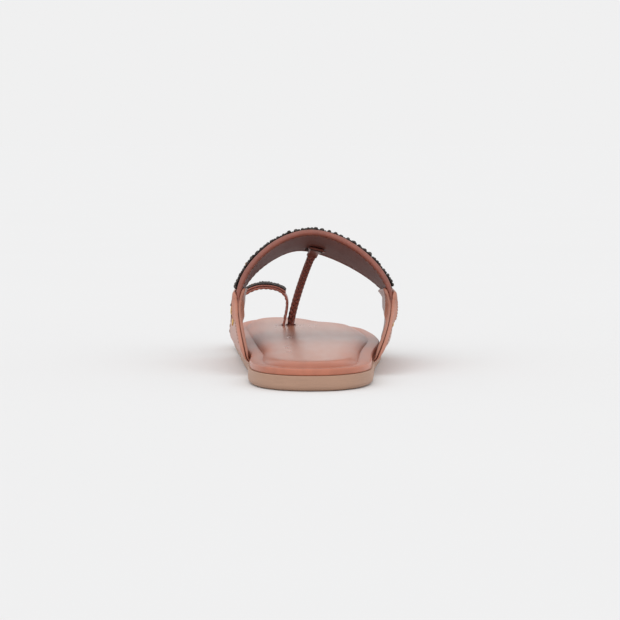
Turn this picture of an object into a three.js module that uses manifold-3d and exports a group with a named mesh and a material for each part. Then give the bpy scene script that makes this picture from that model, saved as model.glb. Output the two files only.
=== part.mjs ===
// A flat toe-loop sandal for the right foot, in millimetres, +Z up.
// +Y runs from heel to toe and the big toe is on the -X side. While it is built, the back of the heel is at Y = 0;
// the finished group is shifted so that its origin is the centre of its footprint, on the ground.
import * as THREE from "three";
import { mergeVertices } from "three/addons/utils/BufferGeometryUtils.js";
import Module from "manifold-3d";

const wasm = await Module();
wasm.setup();

const MEDIAL = -1; // the big-toe side
const LATERAL = 1;
const ACROSS = new THREE.Vector3(1, 0, 0);

// ---- Sole ----
const SOLE_LENGTH = 250;
const HEEL_WIDTH = 63.2;
const WAIST_WIDTH = 69;
const BALL_WIDTH = 82;
const TOE_WIDTH = 76;
const TOE_SPRING = 4; // how far the toe tip curves up from the ground
const SPRING_START = 165; // where it starts to, from the back of the heel

const GAP = 0.25; // a film of cement between two layers
const OUTSOLE_THICKNESS = 7.4;
const OUTSOLE_ROUND = 2.2; // of its lower edge
const BOARD_THICKNESS = 1.2;
const COVER_THICKNESS = 0.7;
const LASTING_MARGIN = 10; // how far the cover turns in under the board
const COVER_CHAMFER = 0.8;
const RIM_INSET = 1; // how far the wrapped insole is set in from the edge of the outsole
const BORDER_WIDTH = 7.5; // the footbed's flat border, outside its padding
const CUSHION_HEIGHT = 2.4;
const CUSHION_SHOULDER = 6.5; // how far the padding takes to rise to its full height

const TREAD_PITCH = 10;
const TREAD_WIDTH = 2.2;
const TREAD_DEPTH = 1;
const TREAD_MARGIN = 8;

// ---- Instep strap: an arch lofted from its rear edge to its front edge ----
// A fullness is the share of the half span that each handle of the arch's curve takes (0.55 is near an ellipse), and
// a lean is the angle between the foot of the arch and the vertical.
const REAR_EDGE = {
  crown: new THREE.Vector3(0.5, 121, 72.2),
  springY: 115,
  springZ: 36,
  footY: 72,
  medial: { springX: -38.9, fullness: 0.48, lean: 0.2 },
  lateral: { springX: 43.2, fullness: 0.45, lean: 0.4 },
};
const FRONT_EDGE = {
  crown: new THREE.Vector3(-6, 178, 60.1),
  springY: 170,
  springZ: 33,
  footY: 168,
  medial: { springX: -39.8, fullness: 0.4, lean: 0.42 },
  lateral: { springX: 43.3, fullness: 0.32, lean: 0.4 },
};
const UPPER_THICKNESS = 0.9;
const PADDING_THICKNESS = 0.6;
const LINING_THICKNESS = 0.8;
const BEADWORK_THICKNESS = 1.1;
const PIPING_RADIUS = 1.35; // the rolled edge of the strap

// ---- Side flaps that hold the strap, each of two layers with the strap's end between them ----
const EAR_HEIGHT = 31; // along its front edge, from its foot; its rear edge slants back and is longer
const EAR_OUTER_THICKNESS = 1.9;
const EAR_LINING_THICKNESS = 1.6;
const EAR_CORNER = 2; // radius of its upper corners
const STRAP_TUCK = 11; // how deep the strap reaches down between the layers
const SPREAD_LENGTH = 5; // how far the layers take to spread round it
const RIM_CLEARANCE = 0.35; // between a flap and the side of the insole
const FLANGE_BEND = 3; // where a flap turns in under the insole
const FLANGE_LENGTH = 9;
const SKIVED = 0.6; // thickness of a layer where it is cemented under the insole
const MOTIF_RADIUS = 5.5;
const MOTIF_HEIGHT = 0.9;
const MOTIF_CENTRE = 11.5; // above the flap's foot
const THREAD_RADIUS = 0.3;
const STITCH_MARGIN = 3.2;

// ---- Toe loop ----
const LOOP = {
  y: 208,
  width: 10,
  crown: new THREE.Vector3(-27, 0, 36.2),
  medial: { springX: -45.2, springZ: 21, fullness: 0.5, lean: 0.15 },
  lateral: { springX: -12.7, springZ: 26, fullness: 0.66, lean: 0 },
  legX: -15.2, // its lateral end, in the slot
};
const LOOP_LINING_THICKNESS = 1.3;
const LOOP_UPPER_THICKNESS = 0.9;
const LOOP_BEADWORK_THICKNESS = 1;
const LOOP_UPPER_END = 0.36; // share of the lateral half that the decorated layer covers

// ---- Braided thong from the strap's front edge to the footbed ----
const BRAID_FOOT = { x: -11.4, y: 208 };
const STRAND_SWAY = 1.88; // how far a strand swings to each side
const STRAND_LIFT = 1.15; // and over and under
const STRAND_HALF_WIDTH = 1.02;
const STRAND_HALF_THICKNESS = 0.68;
const BRAID_PITCH = 11.4; // one strand's full wave
const LEAF_WIDTH = 8.6; // the thong's flat upper end, sewn under the strap
const LEAF_LENGTH = 15;
const LEAF_THICKNESS = 1.3;
const LEAF_PLACE = 0.09; // share of the strap's lateral half, out from its crown
const LEAF_END = 7; // from there to the strap's front edge
const NECK_LENGTH = 6; // from the leaf to the first crossing of the strands
const ROOT_WIDTH = 5.4; // the thong's flat lower end, cemented under the board
const ROOT_THICKNESS = 1.2;
const ROOT_RISE = 0.6; // above the footbed
const SLOT_CLEARANCE = 0.4;

const RIM_STEPS = 80; // points round the sole
const STRAP_STEPS = 32; // points across a strap
const EAR_STEPS = 26;

// ---- Levels of the sole, from the ground up ----
const MARGIN_BOTTOM = OUTSOLE_THICKNESS + GAP;
const MARGIN_TOP = MARGIN_BOTTOM + COVER_THICKNESS;
const BOARD_BOTTOM = MARGIN_TOP + GAP;
const BOARD_TOP = BOARD_BOTTOM + BOARD_THICKNESS;
const BORDER_BOTTOM = BOARD_TOP + GAP;
const BORDER_TOP = BORDER_BOTTOM + COVER_THICKNESS;
const FOOTBED_TOP = BORDER_BOTTOM + CUSHION_HEIGHT + GAP + COVER_THICKNESS;
const FLANGE_LEVEL = OUTSOLE_THICKNESS - GAP / 2 - SKIVED; // between the two layers of a flange
const POCKET_FLOOR = FLANGE_LEVEL - GAP / 2 - SKIVED - GAP;
const HALF_STRAP = (UPPER_THICKNESS + PADDING_THICKNESS + LINING_THICKNESS) / 2 + GAP;

const MATERIALS = {
  outsole: new THREE.MeshStandardMaterial({ color: 0xb4907c, roughness: 0.55, metalness: 0 }),
  board: new THREE.MeshStandardMaterial({ color: 0x9c8a6e, roughness: 0.9, metalness: 0 }),
  foam: new THREE.MeshStandardMaterial({ color: 0xd8cdb8, roughness: 0.95, metalness: 0 }),
  tan: new THREE.MeshStandardMaterial({ color: 0xb97560, roughness: 0.42, metalness: 0 }),
  lining: new THREE.MeshStandardMaterial({ color: 0x8a4f45, roughness: 0.5, metalness: 0 }),
  braid: new THREE.MeshStandardMaterial({ color: 0x5a2f2a, roughness: 0.4, metalness: 0 }),
  beads: new THREE.MeshStandardMaterial({ color: 0x1c1715, roughness: 0.25, metalness: 0.3 }),
  gold: new THREE.MeshStandardMaterial({ color: 0xd9a441, roughness: 0.35, metalness: 0.8 }),
  thread: new THREE.MeshStandardMaterial({ color: 0xa9654f, roughness: 0.7, metalness: 0 }),
};

const mix = (a, b, t) => a + (b - a) * t;
function ease(t) {
  const c = Math.min(1, Math.max(0, t));
  return c * c * (3 - 2 * c);
}
const toeSpring = (y) => TOE_SPRING * (Math.max(0, y - SPRING_START) / (SOLE_LENGTH - SPRING_START)) ** 2;

// ---- Solids ----
// Moves each vertex of a geometry by a function of where it was, then merges what meets and faces it outwards.
function warp(geometry, place) {
  const position = geometry.getAttribute("position");
  for (let i = 0; i < position.count; i++) {
    const p = place(new THREE.Vector3().fromBufferAttribute(position, i), i);
    position.setXYZ(i, p.x, p.y, p.z);
  }
  const bare = new THREE.BufferGeometry().setAttribute("position", position).setIndex(geometry.getIndex());
  return faceOutwards(mergeVertices(bare, 1e-3));
}

function faceOutwards(geometry) {
  const position = geometry.getAttribute("position");
  const corners = geometry.getIndex().array;
  const faces = [];
  let volume = 0;
  for (let i = 0; i < corners.length; i += 3) {
    const face = corners.slice(i, i + 3);
    if (new Set(face).size < 3) continue;
    const [a, b, c] = [...face].map((k) => new THREE.Vector3().fromBufferAttribute(position, k));
    volume += a.dot(b.cross(c));
    faces.push(face);
  }
  geometry.setIndex(faces.flatMap(([a, b, c]) => (volume > 0 ? [a, b, c] : [a, c, b])));
  return geometry;
}

function toSolid(geometry) {
  const vertProperties = new Float32Array(geometry.getAttribute("position").array);
  const triVerts = new Uint32Array(geometry.getIndex().array);
  return new wasm.Manifold(new wasm.Mesh({ numProp: 3, vertProperties, triVerts }));
}

function cut(geometry, tools) {
  const mesh = tools.reduce((body, tool) => body.subtract(toSolid(tool)), toSolid(geometry)).getMesh();
  const left = new THREE.BufferGeometry();
  left.setAttribute("position", new THREE.BufferAttribute(new Float32Array(mesh.vertProperties), 3));
  left.setIndex(new THREE.BufferAttribute(new Uint32Array(mesh.triVerts), 1));
  return left;
}

// A box bent into place by a function of its three shares, each from 0 to 1.
function bentBox(steps, place) {
  return warp(new THREE.BoxGeometry(1, 1, 1, ...steps), (p) => place(p.x + 0.5, p.y + 0.5, p.z + 0.5));
}

// ---- Outline of the sole: [width it follows, share of that width, share of the length], from the heel ----
const OUTLINE = [
  [HEEL_WIDTH, 0, 0],
  [HEEL_WIDTH, -0.21, 0.012],
  [HEEL_WIDTH, -0.38, 0.053],
  [HEEL_WIDTH, -0.465, 0.105],
  [HEEL_WIDTH, -0.5, 0.17],
  [WAIST_WIDTH, -0.463, 0.285],
  [WAIST_WIDTH, -0.507, 0.41],
  [BALL_WIDTH, -0.464, 0.55],
  [BALL_WIDTH, -0.494, 0.67],
  [BALL_WIDTH, -0.525, 0.78],
  [TOE_WIDTH, -0.588, 0.86],
  [TOE_WIDTH, -0.562, 0.93],
  [TOE_WIDTH, -0.47, 0.98],
  [TOE_WIDTH, -0.31, 1],
  [TOE_WIDTH, -0.09, 0.986],
  [TOE_WIDTH, 0.14, 0.934],
  [TOE_WIDTH, 0.38, 0.866],
  [BALL_WIDTH, 0.43, 0.785],
  [BALL_WIDTH, 0.468, 0.69],
  [BALL_WIDTH, 0.473, 0.57],
  [WAIST_WIDTH, 0.51, 0.42],
  [WAIST_WIDTH, 0.478, 0.3],
  [HEEL_WIDTH, 0.505, 0.2],
  [HEEL_WIDTH, 0.473, 0.11],
  [HEEL_WIDTH, 0.38, 0.053],
  [HEEL_WIDTH, 0.21, 0.012],
];
const outline = new THREE.CatmullRomCurve3(
  OUTLINE.map(([width, across, along]) => new THREE.Vector3(width * across, SOLE_LENGTH * along, 0)),
  true,
  "centripetal",
);
const fineOutline = outline.getSpacedPoints(8 * RIM_STEPS);
const byLength = [...fineOutline].sort((a, b) => a.y - b.y);
const heelTip = byLength[0];
const toeTip = byLength.at(-1);

// Where the outline crosses a station y, on one side of the sole.
function edgeX(side, y) {
  const crossings = fineOutline.slice(1).flatMap((b, i) => {
    const a = fineOutline[i];
    return a.y > y === b.y > y ? [] : [side * mix(a.x, b.x, (y - a.y) / (b.y - a.y))];
  });
  return side * Math.max(...crossings);
}

// Points round the sole, in pairs across it, closer together towards its ends.
const stations = Array.from({ length: RIM_STEPS / 2 - 1 }, (_, i) =>
  mix(heelTip.y, toeTip.y, (1 - Math.cos((2 * Math.PI * (i + 1)) / RIM_STEPS)) / 2),
);
const sidePoints = (side) => stations.map((y) => new THREE.Vector3(edgeX(side, y), y, 0));
const rim = [heelTip, ...sidePoints(MEDIAL), toeTip, ...sidePoints(LATERAL).reverse()];

// The line up the middle of the sole that its layers are drawn towards.
function spinePoint(y) {
  const station = Math.min(SOLE_LENGTH - TOE_WIDTH / 2, Math.max(HEEL_WIDTH / 2, y));
  return new THREE.Vector3((edgeX(MEDIAL, station) + edgeX(LATERAL, station)) / 2, station, 0);
}
const toSpine = rim.map((p) => spinePoint(p.y).sub(p));

// ---- Layers of the sole ----
// A profile is a list of [distance in from the edge of the outsole, height], from the top of the layer's middle round
// to the underside of its middle. SPINE is the line up the middle.
const SPINE = Infinity;
const UNDERLAP = RIM_INSET + LASTING_MARGIN;
function soleLayer(profile) {
  const points = profile.map(([inset, z]) => new THREE.Vector2(inset === SPINE ? 0 : 1, z));
  return warp(new THREE.LatheGeometry(points, RIM_STEPS), (p, k) => {
    const inset = profile[k % profile.length][0];
    const i = Math.floor(k / profile.length) % RIM_STEPS;
    const share = inset === SPINE ? 1 : inset / toSpine[i].length();
    const place = rim[i].clone().addScaledVector(toSpine[i], share);
    return place.setZ(p.y + toeSpring(place.y));
  });
}

// The flat middle of a layer, from the spine out. Every layer has the same rings, so that they curve alike.
const flatMiddle = (z) => [[SPINE, z], [2.2 * UNDERLAP, z], [UNDERLAP, z]];

// The upper side of the padding from the spine out, moved out and up by the layers that cover it.
function paddingTop(cover) {
  const foot = RIM_INSET + BORDER_WIDTH - cover;
  const rise = (share) => BORDER_BOTTOM + CUSHION_HEIGHT * share + cover;
  return [
    [SPINE, rise(1)],
    [2.2 * UNDERLAP, rise(1)],
    [foot + CUSHION_SHOULDER, rise(1)],
    [foot + 0.4 * CUSHION_SHOULDER, rise(0.86)],
    [foot + 0.06 * CUSHION_SHOULDER, rise(0.4)],
  ];
}

function treadGroove(y) {
  return bentBox([4, 1, 1], (across, along, up) => {
    const at = y + (along - 0.5) * TREAD_WIDTH;
    const x = mix(edgeX(MEDIAL, y) + TREAD_MARGIN, edgeX(LATERAL, y) - TREAD_MARGIN, across);
    return new THREE.Vector3(x, at, mix(-TREAD_DEPTH, TREAD_DEPTH, up) + toeSpring(at));
  });
}

function treadGrooves() {
  const count = Math.floor((SOLE_LENGTH - 4 * TREAD_MARGIN) / TREAD_PITCH);
  const start = (SOLE_LENGTH - count * TREAD_PITCH) / 2;
  return Array.from({ length: count + 1 }, (_, i) => treadGroove(start + i * TREAD_PITCH));
}

// A hollow in the top of the outsole, given by its two ends along the sole and a function for its two sides.
function pocket(rear, front, sides) {
  return bentBox([1, 8, 1], (across, along, up) => {
    const y = mix(rear - SLOT_CLEARANCE, front + SLOT_CLEARANCE, along);
    const [a, b] = sides(y);
    return new THREE.Vector3(mix(a, b, across), y, mix(POCKET_FLOOR, MARGIN_TOP, up) + toeSpring(y));
  });
}
const flangeReach = FLANGE_LENGTH + 2 * FLANGE_BEND;
function rimPocket(side, rear, front) {
  return pocket(rear, front, (y) => [edgeX(side, y) - side * flangeReach, edgeX(side, y) + side * flangeReach]);
}

function outsole() {
  const wall = OUTSOLE_THICKNESS - 0.6;
  const body = soleLayer([
    ...flatMiddle(OUTSOLE_THICKNESS),
    [0.6, OUTSOLE_THICKNESS],
    [0, wall],
    [0, OUTSOLE_ROUND],
    [0.3 * OUTSOLE_ROUND, 0.3 * OUTSOLE_ROUND],
    [OUTSOLE_ROUND, 0],
    ...flatMiddle(0).reverse(),
  ]);
  return cut(body, [
    rimPocket(MEDIAL, REAR_EDGE.footY, FRONT_EDGE.footY),
    rimPocket(LATERAL, REAR_EDGE.footY, FRONT_EDGE.footY),
    rimPocket(MEDIAL, LOOP.y - LOOP.width / 2, LOOP.y + LOOP.width / 2),
    pocket(LOOP.y - LOOP.width / 2, LOOP.y + LOOP.width / 2, () => [LOOP.legX - flangeReach, LOOP.legX + 1]),
    pocket(BRAID_FOOT.y - flangeReach, BRAID_FOOT.y + 1, () => slotSides(BRAID_FOOT.x, ROOT_WIDTH)),
    ...treadGrooves(),
  ]);
}

const slotSides = (centre, width) => [centre - width / 2 - SLOT_CLEARANCE, centre + width / 2 + SLOT_CLEARANCE];

// The slot in the footbed for the loop's inner leg and the thong's root.
function footbedSlots() {
  const slot = (xs, ys) =>
    bentBox([1, 1, 1], (across, along, up) =>
      new THREE.Vector3(mix(...xs, across), mix(...ys, along), mix(OUTSOLE_THICKNESS, 2 * FOOTBED_TOP, up)));
  const turn = FLANGE_BEND / 2; // room for what turns in under the board
  const legX = LOOP.legX - (LOOP_LINING_THICKNESS + GAP + turn / 2) / 2;
  return [
    slot(slotSides(legX, LOOP_LINING_THICKNESS + turn / 2), slotSides(LOOP.y, LOOP.width)),
    slot(slotSides(BRAID_FOOT.x, ROOT_WIDTH), slotSides(BRAID_FOOT.y - turn / 2, ROOT_THICKNESS + turn)),
  ];
}

function insoleBoard() {
  const edge = RIM_INSET + COVER_THICKNESS + GAP;
  const body = soleLayer([
    ...flatMiddle(BOARD_TOP),
    [edge, BOARD_TOP],
    [edge, BOARD_BOTTOM],
    [UNDERLAP + SLOT_CLEARANCE, BOARD_BOTTOM],
    [UNDERLAP + SLOT_CLEARANCE, MARGIN_BOTTOM],
    ...flatMiddle(MARGIN_BOTTOM).slice(0, 2).reverse(),
  ]);
  return cut(body, footbedSlots());
}

function footbedCushion() {
  const edge = RIM_INSET + BORDER_WIDTH;
  const body = soleLayer([
    ...paddingTop(0),
    [edge, BORDER_BOTTOM],
    ...flatMiddle(BORDER_BOTTOM).reverse(),
  ]);
  return cut(body, footbedSlots());
}

function insoleCover() {
  const inner = RIM_INSET + COVER_THICKNESS;
  const body = soleLayer([
    ...paddingTop(GAP + COVER_THICKNESS),
    [RIM_INSET + BORDER_WIDTH - GAP - COVER_THICKNESS, BORDER_TOP],
    [RIM_INSET + 0.5, BORDER_TOP],
    [RIM_INSET, BORDER_TOP - 0.5],
    [RIM_INSET, MARGIN_BOTTOM + COVER_CHAMFER],
    [RIM_INSET + COVER_CHAMFER, MARGIN_BOTTOM],
    [UNDERLAP, MARGIN_BOTTOM],
    [UNDERLAP, MARGIN_TOP],
    [inner, MARGIN_TOP],
    [inner, BORDER_BOTTOM],
    [RIM_INSET + BORDER_WIDTH - GAP, BORDER_BOTTOM],
    ...paddingTop(GAP).reverse(),
  ]);
  return cut(body, footbedSlots());
}

// ---- Arches ----
// Half a section of an arch, as one curve from its crown down to its foot and in under the insole.
function halfSection(inward, { crown, spring, foot, fullness, lean }) {
  const span = spring.x - crown.x;
  const rise = crown.z - spring.z;
  const leg = spring.z - foot.z;
  const fall = spring.y - crown.y;
  const corner = new THREE.Vector3(foot.x + inward * FLANGE_BEND * Math.tan(lean), foot.y, foot.z - FLANGE_BEND);
  const flange = corner.clone().addScaledVector(ACROSS, inward * FLANGE_BEND);
  const section = new THREE.CurvePath();
  section.add(
    new THREE.CubicBezierCurve3(
      crown,
      new THREE.Vector3(crown.x + fullness * span, crown.y + 0.1 * fall, crown.z),
      new THREE.Vector3(spring.x, spring.y - 0.4 * fall, spring.z + fullness * rise),
      spring,
    ),
  );
  section.add(
    new THREE.CubicBezierCurve3(
      spring,
      new THREE.Vector3(spring.x, mix(spring.y, foot.y, 0.3), spring.z - 0.35 * leg),
      new THREE.Vector3(foot.x - inward * 0.35 * leg * Math.tan(lean), foot.y, foot.z + 0.35 * leg),
      foot,
    ),
  );
  section.add(new THREE.QuadraticBezierCurve3(foot, corner, flange));
  section.add(new THREE.LineCurve3(flange, flange.clone().addScaledVector(ACROSS, inward * FLANGE_LENGTH)));
  return section;
}

// A strap that arches over the foot. Its middle surface is given by a side, an arc in millimetres up from the foot of
// its front edge (negative under the insole) and a share v of the way from its rear edge to its front edge. Where the
// leg of another section is longer, arcs are stretched there, so that EAR_HEIGHT is as far above each section's leg.
class Arch {
  constructor(width, makeSection) {
    this.width = width;
    this.makeSection = makeSection;
    this.sections = new Map();
  }
  legLength(side, v) {
    const lengths = this.section(side, v).getCurveLengths();
    return lengths[1] - lengths[0];
  }
  stretch(side, v) {
    return 1 + (this.legLength(side, v) - this.legLength(side, 1)) / EAR_HEIGHT;
  }
  section(side, v) {
    const key = side + ":" + v.toFixed(5);
    if (!this.sections.has(key)) this.sections.set(key, this.makeSection(side, v));
    return this.sections.get(key);
  }
  height(side, v) {
    return this.section(side, v).getCurveLengths()[1] / this.stretch(side, v);
  }
  middle(side, arc, v) {
    const lengths = this.section(side, v).getCurveLengths();
    const share = (lengths[1] - arc * (arc > 0 ? this.stretch(side, v) : 1)) / lengths[3];
    return this.section(side, v).getPoint(Math.min(1, Math.max(0, share)));
  }
  normal(side, arc, v) {
    const step = 0.4;
    const up = this.middle(side, arc + step, v).sub(this.middle(side, arc - step, v));
    const front = this.middle(side, arc, Math.min(1, v + step / this.width));
    const ahead = front.sub(this.middle(side, arc, Math.max(0, v - step / this.width)));
    return up.cross(ahead).multiplyScalar(-side).normalize();
  }
  at(side, arc, v, offset) {
    return this.middle(side, arc, v).addScaledVector(this.normal(side, arc, v), offset);
  }
  // An arc as a share of the arch: -1 is the medial foot, 0 the crown and 1 the lateral foot.
  share(side, arc, v) {
    return side * (1 - arc / this.height(side, v));
  }
  arcAt(share, v) {
    const side = share < 0 ? MEDIAL : LATERAL;
    return [side, (1 - Math.abs(share)) * this.height(side, v)];
  }
}

// A layer of an arch between two shares of it, each a function of v. The two faces are functions of the arc.
function archLayer(arch, [start, end], [low, high], margin, steps) {
  return bentBox([...steps, 1], (across, along, through) => {
    const v = mix(margin / arch.width, 1 - margin / arch.width, along);
    const [side, arc] = arch.arcAt(mix(start(v), end(v), across), v);
    return arch.at(side, arc, v, mix(low(arc), high(arc), through));
  });
}

// A round cord that lies along a route on a face of an arch. The route's x is v in millimetres, and its y the arc.
function archCord(arch, side, route, radius, height, steps) {
  return warp(new THREE.CylinderGeometry(1, 1, 1, 5, steps), (p) => {
    const along = p.y + 0.5;
    const centre = route.getPointAt(along);
    const ahead = route.getTangentAt(along);
    const v = (centre.x - ahead.y * radius * p.x) / arch.width;
    const arc = centre.y + ahead.x * radius * p.x;
    return arch.at(side, arc, v, height(centre.y) + radius * (1 + p.z));
  });
}

// ---- Instep strap ----
const sideName = (side) => (side === MEDIAL ? "medial" : "lateral");
const strap = new Arch(REAR_EDGE.crown.distanceTo(FRONT_EDGE.crown), (side, v) => {
  const blend = (key) => mix(REAR_EDGE[key], FRONT_EDGE[key], v);
  const sided = (key) => mix(REAR_EDGE[sideName(side)][key], FRONT_EDGE[sideName(side)][key], v);
  const footY = blend("footY");
  const lean = sided("lean");
  const clear = RIM_CLEARANCE + EAR_LINING_THICKNESS + GAP / 2 + 0.6 * FLANGE_BEND * Math.tan(lean);
  const footX = edgeX(side, footY) + side * (clear - RIM_INSET);
  return halfSection(-side, {
    crown: REAR_EDGE.crown.clone().lerp(FRONT_EDGE.crown, v),
    spring: new THREE.Vector3(sided("springX"), blend("springY"), blend("springZ")),
    foot: new THREE.Vector3(footX, footY, FLANGE_LEVEL + FLANGE_BEND + toeSpring(footY)),
    fullness: sided("fullness"),
    lean,
  });
});
const constant = (value) => () => value;
const strapEnds = [MEDIAL, LATERAL].map((side) => (v) => strap.share(side, EAR_HEIGHT - STRAP_TUCK, v));
const visibleEnds = [MEDIAL, LATERAL].map((side) => (v) => strap.share(side, EAR_HEIGHT + 2 * GAP, v));
const HEM = 2 * PIPING_RADIUS + GAP;

function strapLayer(low, thickness, ends = strapEnds, margin = HEM) {
  return archLayer(strap, ends, [constant(low), constant(low + thickness)], margin, [STRAP_STEPS, 8]);
}

// The rolled edge, its outer side flush with the edge of the strap.
function strapPiping(edge, inward) {
  return warp(new THREE.CylinderGeometry(PIPING_RADIUS, PIPING_RADIUS, 1, 8, STRAP_STEPS), (p) => {
    const v = edge + (inward * (PIPING_RADIUS + p.x)) / strap.width;
    const [side, arc] = strap.arcAt(mix(strapEnds[0](v), strapEnds[1](v), p.y + 0.5), v);
    return strap.at(side, arc, v, p.z);
  });
}

// ---- Side flaps ----
const spread = (arc) =>
  mix(GAP / 2, HALF_STRAP + 1.8 * GAP, ease((arc - EAR_HEIGHT + STRAP_TUCK + SPREAD_LENGTH + 1) / SPREAD_LENGTH));
const skive = (thickness) => (arc) => mix(SKIVED, thickness, ease((arc + FLANGE_BEND) / (2 * FLANGE_BEND)));

function earLayer(side, thickness, outward) {
  const top = (v) => {
    const fromCorner = Math.max(0, EAR_CORNER - Math.min(v, 1 - v) * strap.width);
    const drop = EAR_CORNER - Math.sqrt(EAR_CORNER ** 2 - fromCorner ** 2);
    return strap.share(side, EAR_HEIGHT - drop, v);
  };
  const end = (v) => strap.share(side, -flangeReach, v);
  const near = (arc) => outward * spread(arc);
  const far = (arc) => outward * (spread(arc) + skive(thickness)(arc));
  return archLayer(strap, [top, end], [near, far], 0, [EAR_STEPS, 8]);
}

const earFace = (arc) => spread(arc) + EAR_OUTER_THICKNESS + 2 * GAP;

function earStitching(side) {
  const left = STITCH_MARGIN;
  const right = strap.width - STITCH_MARGIN;
  const top = EAR_HEIGHT - STITCH_MARGIN;
  const route = [
    [left, 2 * FLANGE_BEND],
    [left, top - EAR_CORNER],
    [left + 0.3 * EAR_CORNER, top - 0.3 * EAR_CORNER],
    [left + EAR_CORNER, top],
    [right - EAR_CORNER, top],
    [right - 0.3 * EAR_CORNER, top - 0.3 * EAR_CORNER],
    [right, top - EAR_CORNER],
    [right, 2 * FLANGE_BEND],
  ].map(([along, arc]) => new THREE.Vector3(along, arc, 0));
  const curve = new THREE.CatmullRomCurve3(route, false, "centripetal");
  return archCord(strap, side, curve, THREAD_RADIUS, earFace, 48);
}

// A low eight-petalled rosette.
function earMotif(side) {
  const profile = [[0, 1], [0.5, 0.95], [0.85, 0.6], [1, 0.1], [0.8, 0], [0.4, 0], [0, 0]];
  const points = profile.map(([radius, height]) => new THREE.Vector2(radius * MOTIF_RADIUS, height * MOTIF_HEIGHT));
  const tenth = strap.middle(side, MOTIF_CENTRE, 0.45).distanceTo(strap.middle(side, MOTIF_CENTRE, 0.55));
  return warp(new THREE.LatheGeometry(points, 32), (p) => {
    const petal = 1 + 0.1 * Math.cos(8 * Math.atan2(p.x, p.z));
    const v = 0.5 + (0.1 * p.x * petal) / tenth;
    const arc = MOTIF_CENTRE + (p.z * petal) / strap.stretch(side, 0.5);
    return strap.at(side, arc, v, earFace(arc) + p.y);
  });
}

// ---- Toe loop ----
const loop = new Arch(LOOP.width, (side, v) => {
  const half = LOOP[sideName(side)];
  const y = LOOP.y + (v - 0.5) * LOOP.width;
  const rise = toeSpring(y);
  const clear = RIM_CLEARANCE + LOOP_LINING_THICKNESS + GAP / 2 + 0.6 * FLANGE_BEND * Math.tan(half.lean);
  const rimFoot = edgeX(MEDIAL, y) + RIM_INSET - clear;
  return halfSection(-side, {
    crown: new THREE.Vector3(LOOP.crown.x, y, LOOP.crown.z + rise),
    spring: new THREE.Vector3(half.springX, y, half.springZ + rise),
    foot: new THREE.Vector3(side === MEDIAL ? rimFoot : LOOP.legX, y, FLANGE_LEVEL + FLANGE_BEND + rise),
    fullness: half.fullness,
    lean: half.lean,
  });
});
const loopEnd = (side) => (v) => loop.share(side, -flangeReach, v);

function loopLining() {
  const low = (arc) => -GAP / 2 - skive(LOOP_LINING_THICKNESS)(arc);
  return archLayer(loop, [loopEnd(MEDIAL), loopEnd(LATERAL)], [low, constant(-GAP / 2)], 0, [64, 2]);
}

function loopUpper() {
  const high = (arc) => GAP / 2 + skive(LOOP_UPPER_THICKNESS)(arc);
  const end = constant(LOOP_UPPER_END);
  return archLayer(loop, [loopEnd(MEDIAL), end], [constant(GAP / 2), high], 0, [48, 2]);
}

function loopBeadwork() {
  const low = 1.5 * GAP + LOOP_UPPER_THICKNESS;
  const faces = [constant(low), constant(low + LOOP_BEADWORK_THICKNESS)];
  const start = (v) => loop.share(MEDIAL, 2 * FLANGE_BEND, v);
  return archLayer(loop, [start, constant(LOOP_UPPER_END - 0.03)], faces, 0.6, [36, 2]);
}

// ---- Thong ----
const leafOffset = -(HALF_STRAP + GAP + LEAF_THICKNESS / 2);
const leafEndV = 1 - LEAF_END / strap.width;
function leafPoint(x, v, offset) {
  const [side, arc] = strap.arcAt(LEAF_PLACE, v);
  return strap.at(side, arc - x, v, leafOffset + offset);
}
const thongStart = leafPoint(0, leafEndV, 0);
const thongAhead = thongStart.clone().sub(leafPoint(0, leafEndV - 0.05, 0)).normalize();
const thongAcross = leafPoint(1, leafEndV, 0).sub(leafPoint(-1, leafEndV, 0)).normalize();
const thongFoot = new THREE.Vector3(
  BRAID_FOOT.x,
  BRAID_FOOT.y,
  FOOTBED_TOP + toeSpring(BRAID_FOOT.y) + ROOT_RISE + GAP + STRAND_LIFT,
);
const thong = new THREE.CubicBezierCurve3(
  thongStart,
  thongStart.clone().addScaledVector(thongAhead, 2 * NECK_LENGTH),
  thongFoot.clone().add(new THREE.Vector3(2.5, -6, 15)),
  thongFoot,
);
const neckShare = NECK_LENGTH / thong.getLength();

// A point beside the thong's middle line: x across its flat, h through it.
function thongPoint(share, x, h) {
  const along = thong.getTangentAt(share);
  const across = thongAcross.clone().lerp(ACROSS, share);
  across.addScaledVector(along, -across.dot(along)).normalize();
  const through = across.clone().cross(along);
  return thong.getPointAt(share).addScaledVector(across, x).addScaledVector(through, h);
}

function braidStrand(index) {
  const start = neckShare + GAP / thong.getLength();
  const waves = ((1 - start) * thong.getLength()) / BRAID_PITCH;
  return warp(new THREE.CylinderGeometry(1, 1, 1, 6, 48), (p) => {
    const along = p.y + 0.5;
    const phase = 2 * Math.PI * (along * waves + index / 3);
    const x = STRAND_SWAY * Math.sin(phase) + STRAND_HALF_WIDTH * p.x;
    const h = STRAND_LIFT * Math.sin(2 * phase) + STRAND_HALF_THICKNESS * p.z;
    return thongPoint(mix(start, 1, along), x, h);
  });
}

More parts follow.
